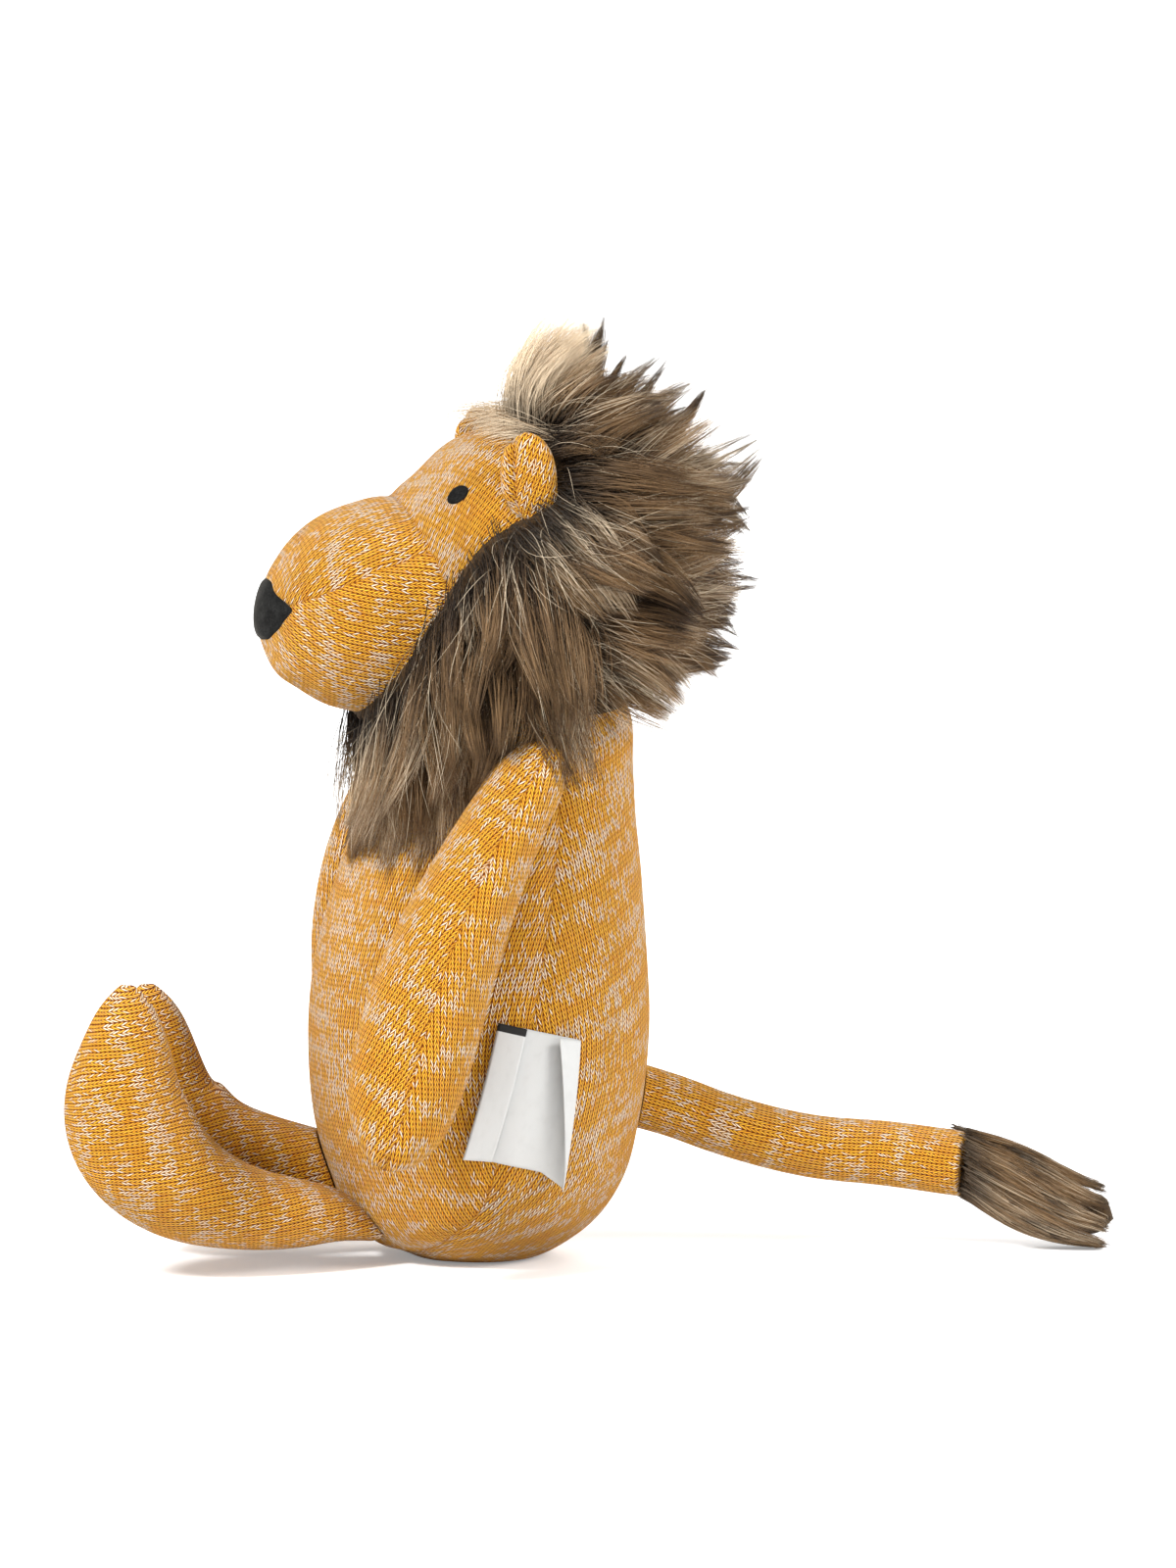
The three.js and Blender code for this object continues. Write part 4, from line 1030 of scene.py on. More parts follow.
def makeEar(name, body, node, spec, side):
    # a flat oval pad: half width = w (1 - |p|^2.6)^(1/2), half thickness = t (1 - |p|^2.4)^(1/2)
    turn = np.array(Matrix.Rotation(math.radians(side * spec["turn"]), 3, "Z")
                    @ Matrix.Rotation(math.radians(-side * spec["lean"]), 3, "X"))
    h, w, t = spec["height"] / 2, spec["width"] / 2, spec["thick"] / 2
    rows = [(h * p, 0, 0, w * math.sqrt(max(1 - abs(p) ** 2.6, 0)), t * math.sqrt(max(1 - abs(p) ** 2.4, 0)))
            for p in (-0.93, -0.7, -0.35, 0, 0.35, 0.7, 0.93)]
    form = makeForm(rows, (-h, 0, 0, 0, 0), (h, 0, 0, 0, 0), 2.2,
                    (spec["setback"], side * spec["spread"], spec["rise"]),
                    (turn[:, 2], turn[:, 0], turn[:, 1]))
    rings = formRings(form, spec["along"], spec["around"])
    local = (rings - form["origin"]) @ form["axes"].T
    outer = spec["around"] // 4 if side > 0 else 3 * spec["around"] // 4
    arc = aroundArc(rings, outer, True)[0]
    gap = local[..., 1] + 0.42 * w + 0.02 * local[..., 0] ** 2 / w
    gap = np.where(local[..., 2] * side < -0.2 * t, 30, gap)
    long = alongArc(rings, outer)
    extra = {
        "panelOne": panel(arc, long, 40),
        "panelTwo": panel(arc, long, -24, 0.5),
        "panelThree": panel(arc, long),
        "seamGaps": seamPair(gap),
    }
    rings = sinkSeam(rings, normalsOf(rings), gap, 1.3, 1.5)
    rings = keepOut(headForm, rings, 0.5)
    piece = closedSkin(name, rings, extra)
    swell(piece, heldPoints((np.abs(gap) < 1.0) | (depthIn(headForm, rings, 2)[0] < 1), False), cap=1.2)
    dress(piece, body, knit, (node,))


makeEar("earLeftCover", "left_ear", "ear_left", earSet, -1)
makeEar("earRightCover", "right_ear", "ear_right", earSet, 1)
print("ears made")

# labels
labelSet = {
    "top": 77.0, "setback": 2.0, "slant": 14.0, "length": 42.0, "thick": 0.25,
    "narrow": {"side": -1, "flat": (18.0, 42.0), "fold": 9.0, "from": -1.4},
    # flat for so far at the top, and so much more at the foot, then curled to an angle on a radius
    "wide": {"side": 1, "flat": (28.0, 42.0), "from": 0.2, "straight": (18.0, 5.2), "radius": (1.1, 1.3),
             "curl": 3.0},
}


def labelPath(kind, spec, down):
    # across the tape at each share down its length: distance from the seam, and lift off the torso
    if kind == "narrow":
        # folded double: out to the fold and back underneath, the fold lifting toward the foot
        s = np.linspace(0, 1, 25)[None]
        out = spec["fold"] * (1 - np.abs(2 * s - 1))
        opening = (0.4 + 2.6 * down[:, None] ** 2) * (out / spec["fold"]) ** 1.5
        lift = 1.5 + 0.4 * np.cos(np.pi * s) + opening
        return np.broadcast_to(out, lift.shape), lift
    # the far edge turns forward: folded over at the top, and opening toward the foot
    s = np.linspace(0, spec["flat"][0], 57)[None]
    straight = spec["straight"][0] + spec["straight"][1] * down[:, None]
    radius = spec["radius"][0] + spec["radius"][1] * down[:, None]
    angle = np.clip((s - straight) / radius, 0, spec["curl"])
    rest = np.maximum(s - straight - spec["curl"] * radius, 0)
    out = np.minimum(s, straight) + radius * np.sin(angle) + rest * np.cos(spec["curl"])
    opening = 1.6 * (s / spec["flat"][0]) ** 2 * (0.3 + down[:, None])
    lift = 0.5 + radius * (1 - np.cos(angle)) + rest * 0.14 + opening
    return out, lift + 0.5 * np.sin(s / 3.1) * down[:, None]


def makeLabel(name, body, node, kind, spec):
    # a strip of tape from the side seam, laid on the torso and lifted by its path
    own = spec[kind]
    down = np.linspace(0, 1, 41)
    out, lift = labelPath(kind, own, down)
    slant = math.radians(spec["slant"])
    along = np.array([-math.sin(slant), 0, -math.cos(slant)])
    across = np.array([math.cos(slant), 0, -math.sin(slant)]) * own["side"]
    if kind == "wide":  # the curled edge hangs lower than the rest
        curled = np.clip((np.linspace(0, 1, out.shape[1]) - 0.62) / 0.38, 0, 1)
        sag = 4.4 * curled[None] * (0.1 + 0.9 * down[:, None])
    else:
        sag = 1.2 * down[:, None] * (out / own["fold"])
    place = (np.array([spec["setback"], -70.0, spec["top"]])
             + along * (spec["length"] * down[:, None] + sag)[..., None]
             + across * (out + own["from"])[..., None])
    base = landOn(torsoForm, place, np.array([0, 1.0, 0]), 40)
    points = base + np.array([0, -1.0, 0]) * lift[..., None]
    rows, columns = lift.shape
    i, j = np.meshgrid(np.arange(rows - 1), np.arange(columns - 1), indexing="ij")
    quads = np.stack([i * columns + j, i * columns + j + 1, (i + 1) * columns + j + 1,
                      (i + 1) * columns + j], -1).reshape(-1, 4)
    corner = lambda a, b: np.stack([b / (columns - 1), a / (rows - 1)], -1)
    uv = np.stack([corner(i, j), corner(i, j + 1), corner(i + 1, j + 1), corner(i + 1, j)], -2).reshape(-1, 2)
    piece = makeMesh(name, points.reshape(-1, 3), quads, None, uv)
    thicken = piece.modifiers.new("thickness", "SOLIDIFY")
    thicken.thickness = spec["thick"] * mm
    thicken.offset = 0
    piece.data.materials.append(tapeEnd if kind == "narrow" else tape)
    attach(piece, body)
    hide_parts(node)


makeLabel("labelNarrowTape", "narrow_label", "label_narrow", "narrow", labelSet)
makeLabel("labelWideTape", "wide_label", "label_wide", "wide", labelSet)
print("labels made")

# fur
# The fur's backing lies on the head behind the hairline: height above the ground, and where the line
# crosses it
hairline = {"rise": (166.0, 177.0, 188.0, 196.0, 204.0, 214.0, 222.0, 227.0, 231.0, 240.0, 254.0),
            "at": (-40.0, -33.0, -26.0, -22.0, -17.0, -12.0, -6.0, 1.0, 9.0, 14.0, 15.0), "thick": 2.5}
# How the hair lies: a place on the head, the way its hair goes from the root, the way it bends to, and its
# length. Places on the far side mirror these.
lie = np.array([
    # x, y, z,        first way,            last way,             length
    (14, -42, 240, 0.20, -0.60, -0.55, 0.30, -0.10, -0.95, 38),
    (24, -42, 237, 0.50, -0.55, -0.40, 0.75, -0.10, -0.70, 42),
    (1, -42, 227, -0.60, -0.45, -0.45, -0.45, 0.00, -0.95, 44),
    (-16, -40, 217, -0.30, -0.40, -0.80, -0.25, 0.05, -1.00, 45),
    (-24, -38, 197, -0.35, -0.35, -0.85, -0.25, 0.10, -1.00, 46),
    (-33, -32, 182, -0.30, -0.35, -0.85, -0.05, 0.15, -1.00, 52),
    (3, -43, 217, -0.20, -0.60, -0.65, -0.10, -0.10, -1.00, 34),
    (5, -44, 207, -0.35, -0.60, -0.60, -0.50, -0.05, -1.00, 46),
    (18, -44, 206, 0.75, -0.60, 0.05, 0.95, -0.05, -0.45, 45),
    (21, -43, 216, 0.70, -0.45, 0.30, 0.95, 0.00, 0.35, 44),
    (-8, -42, 190, -0.30, -0.60, -0.70, -0.15, -0.05, -1.00, 46),
    (3, -42, 184, -0.20, -0.60, -0.75, 0.10, -0.05, -1.00, 42),
    (20, -41, 187, 0.35, -0.60, -0.60, 0.55, 0.00, -0.85, 36),
    (34, -35, 190, 0.85, -0.40, -0.10, 0.95, 0.00, -0.35, 40),
    (35, -35, 204, 0.85, -0.40, 0.05, 1.00, 0.00, -0.05, 44),
    (38, -33, 221, 0.80, -0.40, 0.25, 1.00, 0.00, 0.15, 42),
    (32, -38, 232, 0.75, -0.45, -0.05, 0.95, 0.00, -0.25, 42),
    (34, -29, 244, 0.75, -0.40, 0.30, 1.00, 0.00, 0.05, 44),
    (22, -34, 248, 0.30, -0.60, 0.40, 0.65, -0.15, -0.65, 38),
    (20, -18, 254, 0.20, -0.30, 0.85, 0.70, -0.10, 0.35, 34),
    (30, -5, 252, 0.45, -0.05, 0.85, 0.75, 0.00, 0.55, 38),
    (38, -8, 246, 0.75, -0.05, 0.66, 1.00, 0.00, 0.25, 44),
    (46, -4, 228, 1.00, 0.00, 0.20, 1.00, 0.00, 0.20, 44),
    (47, -5, 208, 1.00, -0.05, 0.00, 1.00, 0.00, -0.10, 44),
    (44, -12, 190, 0.95, -0.10, -0.20, 1.00, 0.00, -0.40, 39),
    (46, -8, 177, 0.50, -0.05, -0.85, 0.45, 0.00, -0.90, 19),
    (16, -10, 255, -0.75, -0.15, 0.55, -0.95, -0.10, -0.30, 26),
    (16, -30, 251, -0.10, -0.60, 0.50, 0.30, -0.25, -0.85, 30),
], float)


# on the far side the hair in front of the ears is shorter and combed back
farLie = lie * np.array([1, -1, 1, 1, -1, 1, 1, -1, 1, 1])
farLie[:, [3, 6, 9]] += np.where(lie[:, :1] < 0, [0.35, 0.25, -9.0], 0.0)


def lieAt(points, spread=15.0):
    # average of the directions round each point, weighed by exp(-distance^2 / 2 spread^2)
    table = np.concatenate([lie, farLie])
    far = ((points[:, None] - table[None, :, :3]) ** 2).sum(-1)
    weight = np.exp(-(far - far.min(1, keepdims=True)) / (2 * spread**2))
    weight /= weight.sum(1, keepdims=True)
    return unit(weight @ table[:, 3:6]), unit(weight @ table[:, 6:9]), weight @ table[:, 9]


def strandMesh(name, body, paths, radius, tone, tipped, upFrom=0.0):
    # a three-sided hair on each path that thins as radius * (1 - 0.8 s) and ends in a point; paths[i, k] in
    # millimetres. Up its map it goes from upFrom at the root to 1 at the tip.
    count, steps = paths.shape[:2]
    ahead = unit(np.gradient(paths, axis=1))
    side = unit(np.cross(ahead, np.array([0.31, 0.52, 0.79])))
    other = np.cross(ahead, side)
    s = np.linspace(0, 1, steps)
    thin = radius[:, None] * (1 - 0.8 * s)[None]
    turn = 2 * np.pi * np.arange(3) / 3
    ring = paths[:, :-1, None] + thin[:, :-1, None, None] * (side[:, :-1, None] * np.cos(turn)[:, None]
                                                             + other[:, :-1, None] * np.sin(turn)[:, None])
    per = 3 * (steps - 1) + 1
    points = np.concatenate([ring.reshape(count, -1, 3), paths[:, -1:]], 1).reshape(-1, 3)
    k, j = np.meshgrid(np.arange(steps - 2), np.arange(3), indexing="ij")
    n = (j + 1) % 3
    quad = np.stack([3 * k + j, 3 * k + n, 3 * k + 3 + n, 3 * k + 3 + j], -1).reshape(-1, 4)
    last = 3 * (steps - 2)
    tri = np.array([[0, 2, 1]] + [[last + a, last + (a + 1) % 3, per - 1] for a in range(3)])
    first = np.arange(count)[:, None, None] * per
    quads, tris = (first + quad[None]).reshape(-1, 4), (first + tri[None]).reshape(-1, 3)
    # the lower part of the map carries the painted root shade, so a higher upFrom gives a strand less of it
    up = upFrom + (1 - upFrom) * np.concatenate([np.repeat(s[:-1], 3), [1.0]])
    across = np.where(tipped, 0.502 + 0.49 * tone, 0.004 + 0.49 * tone)
    vertexUv = np.stack([np.repeat(across, per), np.tile(up, count)], -1)
    uv = vertexUv[np.concatenate([quads.ravel(), tris.ravel()])]
    piece = makeMesh(name, points, quads, tris, uv)
    piece.data.materials.append(fur)
    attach(piece, body)
    return piece


def bowed(s, root, way, bend, length):
    # root + length * (way * (s - s^2 / 2) + bend * s^2 / 2)
    way = way[:, None] * (s - s**2 / 2)
    return root[:, None] + length[:, None, None] * (way + bend[:, None] * s**2 / 2)


def growPile(chance, roots, length, tufts, tuft, spec):
    # each hair is bowed like its tuft's middle hair, and drawn toward it by pull * s^1.3;
    # tufts are the middles' roots, first ways, last ways and lengths, and tuft is each hair's index in them
    count = len(roots)
    s = np.linspace(0, 1, spec["steps"])[None, :, None]
    middles = [part[tuft] for part in tufts]
    way = unit(middles[1] + chance.normal(0, spec["scatter"], (count, 3)))
    bend = unit(middles[2] + chance.normal(0, spec["scatter"], (count, 3)))
    own = bowed(s, roots, way, bend, length)
    middle = bowed(s, *middles)
    pull = (spec["pull"] * chance.uniform(0.75, 1.1, count))[:, None, None] * s**1.3
    return own + (middle - own) * np.clip(pull, 0, 0.97)


def surfaceTufts(chance, rings, normals, keep, tufts):
    # picks tuft middles on the surface, as many for each patch as its area
    stepA = np.gradient(rings, axis=0)
    stepB = (np.roll(rings, -1, 1) - np.roll(rings, 1, 1)) / 2
    area = np.linalg.norm(np.cross(stepA, stepB), axis=-1) * keep
    cell = chance.choice(area.size, tufts, p=(area / area.sum()).ravel())
    return rings.reshape(-1, 3)[cell] + chance.normal(0, 0.6, (tufts, 3)), normals.reshape(-1, 3)[cell]


def behindHairline(points):
    # how far a point lies behind the line, along X
    return points[..., 0] - np.interp(points[..., 2], hairline["rise"], hairline["at"])


def backingRings(grow):
    # the head's own rings, lifted where they lie behind the hairline and sunk into the head before it
    rings = formRings(headForm, 84, 104)
    behind = np.clip(behindHairline(rings) / 5 + 0.5, 0, 1)
    return rings + normalsOf(rings) * ((grow + 1.5) * behind - 1.5)[..., None]


def makeGroundFur(spec):
    # the fur's backing as one hood over the head
    rings = keepOut(torsoForm, backingRings(spec["thick"]), 0.5)
    piece = closedSkin("maneGround", rings)
    dress(piece, "head", groundFur, ("mane",), 0)


makeGroundFur(hairline)
# each hair's own thickness, as a share of its kind's radius
hairThickness = (0.7, 1.15)
# Three kinds of hair. Each grows behind and above a place, its length is multiplied by longer, and by
# backLonger at the back, and tipped is the share of hairs with dark tips at the back and elsewhere.
pileSet = {
    "mane": {"locks": 120, "tufts": 1400, "hairs": 20000, "steps": 7, "scatter": 0.1, "pull": 0.7,
             "lockPull": 0.5, "radius": 0.17, "around": 2.4, "lean": 0.28, "seed": 11, "behind": -1000,
             "above": 0, "longer": 1.0, "backLonger": 0.78, "tipped": (0.35, 0.1)},
    "spikes": {"locks": 44, "tufts": 260, "hairs": 8000, "steps": 7, "scatter": 0.05, "pull": 0.9,
               "lockPull": 0.72, "radius": 0.16, "around": 3.0, "lean": 0.27, "seed": 12, "behind": 20,
               "above": 182, "longer": 1.1, "backLonger": 1.0, "tipped": (0.8, 0.8)},
    "loose": {"locks": 400, "tufts": 1600, "hairs": 4200, "steps": 9, "scatter": 0.36, "pull": 0.1,
              "lockPull": 0.1, "radius": 0.11, "around": 2.0, "lean": 0.3, "seed": 13, "behind": -1000,
              "above": 0, "longer": 1.0, "backLonger": 1.0, "darkShare": 0.55},
    # hollows between the locks, where the hair is short and its tone is painted dark as shade: place on the
    # head and radius
    "hollows": [(-6, -41, 187, 9), (4, -43, 199, 8), (7, -43, 215, 7), (26, -41, 209, 7), (30, -37, 197, 6),
                (42, -20, 214, 7), (26, -38, 240, 5)],
    # a tuft goes its own way by these shares and its lock's way by the rest; the back begins at backFrom
    "ownWay": 0.45, "ownLength": 0.4, "backFrom": 24, "hairsInPiece": 5500,
}


def clearOfBody(paths, grow=0.7):
    # hair stays outside the head, the torso and both arms by the clearance
    for form in (headForm, torsoForm, armLeftForm, armRightForm):
        paths = keepOut(form, paths, grow)
    return paths


def nearest(points, centres):
    # index of the closest centre, a few thousand points at a time
    found = [((points[first:first + 2000, None] - centres[None]) ** 2).sum(-1).argmin(1)
             for first in range(0, len(points), 2000)]
    return np.concatenate(found)


def hollowAt(points, hollows):
    # 1 in the middle of a hollow, falling as exp(-(distance / radius)^2); those on the far side mirror these
    table = np.array(hollows, float)
    table = np.concatenate([table, table * np.array([1, -1, 1, 1])])
    far = ((points[:, None] - table[None, :, :3]) ** 2).sum(-1) / table[:, 3] ** 2
    return np.exp(-far).max(1)


def makeMane(sets):
    # three kinds of hair on the hood: the mane itself, stiff spikes at the back, and loose single hairs
    rings = backingRings(hairline["thick"])
    normals = normalsOf(rings)
    onHead = (behindHairline(rings) > 0.5) & (depthIn(torsoForm, rings)[0] > 1.03)
    for key in ("mane", "spikes", "loose"):
        own = sets[key]
        chance = np.random.default_rng(own["seed"])
        keep = onHead & (rings[..., 0] > own["behind"]) & (rings[..., 2] > own["above"])
        # big locks, each of many tufts; a lock has its own lean, length and tone
        lockAt, lockOut = surfaceTufts(chance, rings, normals, keep, own["locks"])
        lockWay, lockBend, lockLength = lieAt(lockAt)
        lockWay = unit(lockWay + 0.15 * lockOut + chance.normal(0, own["lean"], lockWay.shape))
        lockBend = unit(lockBend + chance.normal(0, 1.5 * own["lean"], lockBend.shape))
        lockLength = lockLength * chance.uniform(0.82, 1.1, len(lockLength))
        lockTone = chance.beta(0.9, 1.1, own["locks"])
        middle, out = surfaceTufts(chance, rings, normals, keep, own["tufts"])
        lock = nearest(middle, lockAt)
        way, bend, length = lieAt(middle)
        share, lengthShare = sets["ownWay"], sets["ownLength"]
        way = unit(share * way + (1 - share) * lockWay[lock] + chance.normal(0, 0.09, way.shape))
        bend = unit(share * bend + (1 - share) * lockBend[lock] + chance.normal(0, 0.09, bend.shape))
        length = lengthShare * length + (1 - lengthShare) * lockLength[lock]
        length = length * chance.uniform(0.88, 1.08, len(length)) * own["longer"]
        length = length * np.where(middle[:, 0] > sets["backFrom"], own["backLonger"], 1.0)
        tuft = np.arange(own["hairs"]) % own["tufts"]
        roots = middle[tuft] + chance.normal(0, own["around"], (own["hairs"], 3))
        roots = keepOut(headForm, roots, 0.6)
        hollow = hollowAt(roots, sets["hollows"])
        long = length[tuft] * chance.uniform(0.72, 1.06, own["hairs"]) * (1 - 0.4 * hollow)
        paths = growPile(chance, roots, long, (middle, way, bend, length), tuft, own)
        # tufts of one lock lean together toward its middle
        s = np.linspace(0, 1, own["steps"])[None, :, None]
        core = bowed(s, lockAt, lockWay, lockBend, lockLength)
        paths = paths + (core[lock[tuft]] - paths) * own["lockPull"] * s**1.5
        paths[:, 1:] = clearOfBody(paths[:, 1:])
        tuftTone = 0.6 * lockTone[lock] + 0.4 * chance.beta(2, 2, own["tufts"])
        tone = 0.72 * tuftTone[tuft] + 0.36 * chance.uniform(0, 1, own["hairs"]) - 0.04
        # painted shade: hair in a hollow is darkened by how deep it lies in it
        tone = np.clip(tone, 0, 1) * (1 - hollow)
        radius = own["radius"] * chance.uniform(*hairThickness, own["hairs"])
        draw = chance.uniform(0, 1, own["hairs"])
        if "darkShare" in own:  # each loose hair is dark or light
            tone = np.where(draw < own["darkShare"], 0.02, 0.98)
            tipped = tone < 0.5
        else:
            tipped = draw < np.where(roots[:, 0] > sets["backFrom"], *own["tipped"])
        for part, first in enumerate(range(0, own["hairs"], sets["hairsInPiece"])):
            pick = slice(first, first + sets["hairsInPiece"])
            strandMesh(f"{key}Hair{part + 1}", "head", paths[pick], radius[pick], tone[pick], tipped[pick])


makeMane(pileSet)
# Two tufts stand up from the crown: a pale one that curls back at its tip, and a dark pointed one behind it.
# A short fringe falls forward before them.
crestSet = {
    "pale": {"root": (17, -6, 252), "spread": (4.5, 6, 1), "way": (-0.30, 0, 1.0), "bend": (0.85, -0.1, 0.5),
             "length": 44, "tufts": 26, "hairs": 1300, "steps": 9, "scatter": 0.09, "pull": 0.55,
             "radius": 0.14, "tone": (0.72, 1.0), "tipped": 0.0, "seed": 15},
    "dark": {"root": (29, -4, 249), "spread": (4, 7, 1.5), "way": (0.05, 0, 1.0), "bend": (0.25, 0, 1.0),
             "length": 37, "tufts": 9, "hairs": 900, "steps": 6, "scatter": 0.05, "pull": 0.9,
             "radius": 0.15, "tone": (0.15, 0.7), "tipped": 0.9, "seed": 16},
    "fringe": {"root": (17, 4, 253), "spread": (2.5, 13, 1), "way": (-0.9, 0.05, 0.35),
               "bend": (-0.9, 0.1, -0.35), "length": 24, "tufts": 30, "hairs": 520, "steps": 7,
               "scatter": 0.14, "pull": 0.4, "radius": 0.13, "tone": (0.5, 1.0), "tipped": 0.1, "seed": 17},
}


def makeCrest(key, spec):
    # tufts whose middles scatter round the root, each hair on the path of growPile
    chance = np.random.default_rng(spec["seed"])
    middle = np.array(spec["root"]) + chance.normal(0, 1, (spec["tufts"], 3)) * np.array(spec["spread"])
    middle = keepOut(headForm, middle, 0.8)
    way = unit(np.array(spec["way"]) + chance.normal(0, 0.13, middle.shape))
    bend = unit(np.array(spec["bend"]) + chance.normal(0, 0.16, middle.shape))
    length = spec["length"] * chance.uniform(0.8, 1.08, spec["tufts"])
    tuft = np.arange(spec["hairs"]) % spec["tufts"]
    roots = keepOut(headForm, middle[tuft] + chance.normal(0, 1.8, (spec["hairs"], 3)), 0.6)
    long = length[tuft] * chance.uniform(0.7, 1.05, spec["hairs"])
    paths = growPile(chance, roots, long, (middle, way, bend, length), tuft, spec)
    paths[:, 1:] = keepOut(headForm, paths[:, 1:], 0.6)
    tone = chance.uniform(*spec["tone"], spec["hairs"])
    tipped = chance.uniform(0, 1, spec["hairs"]) < spec["tipped"]
    radius = spec["radius"] * chance.uniform(*hairThickness, spec["hairs"])
    strandMesh(f"{key}Crest", "head", paths, radius, tone, tipped, 0.2)


for key, own in crestSet.items():
    makeCrest(key, own)
print("mane made")

beardSet = {"tufts": 190, "hairs": 4900, "steps": 8, "scatter": 0.07, "pull": 0.8, "radius": 0.18,
            "seed": 21, "low": 168.0, "length": 50.0,
            # the strip of roots: its turn, middle, depth, flattening and half width, then scatter and rise
            "turn": 1.25, "middle": -20, "deep": 26, "flatten": 0.9, "half": 30, "along": (-7, 5), "rise": 6,
            "tall": (-3, 8), "way": (-0.06, 0.35, -0.9), "bend": (-0.02, 0, -1.0), "tipped": 0.3}


def makeBeard(spec):
    # roots in a strip under the chin and behind the cheeks; the hair hangs down over the chest
    chance = np.random.default_rng(spec["seed"])
    side = chance.uniform(-1, 1, spec["tufts"])
    turn = side * spec["turn"]
    x = spec["middle"] + spec["deep"] * (1 - np.cos(turn)) * spec["flatten"]
    x = x + chance.uniform(*spec["along"], spec["tufts"])
    z = spec["low"] + spec["rise"] * np.abs(side) + chance.uniform(*spec["tall"], spec["tufts"])
    middle = np.stack([x, spec["half"] * np.sin(turn), z], -1)
    middle = keepOut(torsoForm, middle, 1.0)
    ahead, aside, down = spec["way"]
    way = np.stack([ahead * np.cos(turn), aside * np.sin(turn), np.full_like(turn, down)], -1)
    way = unit(way + chance.normal(0, 0.1, (spec["tufts"], 3)))
    bend = unit(np.array(spec["bend"]) + chance.normal(0, 0.1, (spec["tufts"], 3)))
    length = spec["length"] * (0.72 + 0.95 * np.abs(side) - 0.95 * side**2)
    length = length * chance.uniform(0.8, 1.1, spec["tufts"])
    tuft = np.arange(spec["hairs"]) % spec["tufts"]
    roots = keepOut(headForm, middle[tuft] + chance.normal(0, 2.2, (spec["hairs"], 3)), 0.6)
    long = length[tuft] * chance.uniform(0.7, 1.08, spec["hairs"])
    paths = growPile(chance, roots, long, (middle, way, bend, length), tuft, spec)
    paths[:, 1:] = clearOfBody(paths[:, 1:], 0.9)
    tone = np.clip(0.5 * chance.beta(2.2, 2.4, spec["tufts"])[tuft]
                   + 0.4 * chance.uniform(0, 1, spec["hairs"]), 0, 1)
    tipped = chance.uniform(0, 1, spec["hairs"]) < spec["tipped"]
    radius = spec["radius"] * chance.uniform(*hairThickness, spec["hairs"])
    piece = strandMesh("beardHair", "head", paths, radius, tone, tipped)
    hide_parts("beard")


makeBeard(beardSet)
tuftSet = {"tufts": 90, "hairs": 5600, "steps": 7, "radius": 0.17, "seed": 31, "coreAround": 28,
           "coreShare": 0.62,
           # shares of the tuft's length: where tufts begin, how far hair begins over the cuff, and its reach
           "atCuff": 0.3, "startTo": 0.6, "overCuff": 0.08, "reach": (0.35, 0.62), "bluntAt": 0.9,
           # shares of the tuft's radius: hair near the outside, and the depth of the rest
           "outside": 0.6, "outer": 0.98, "inner": (0.6, 0.95), "swirl": 0.25, "tone": 0.85, "rootFrom": 0.16}


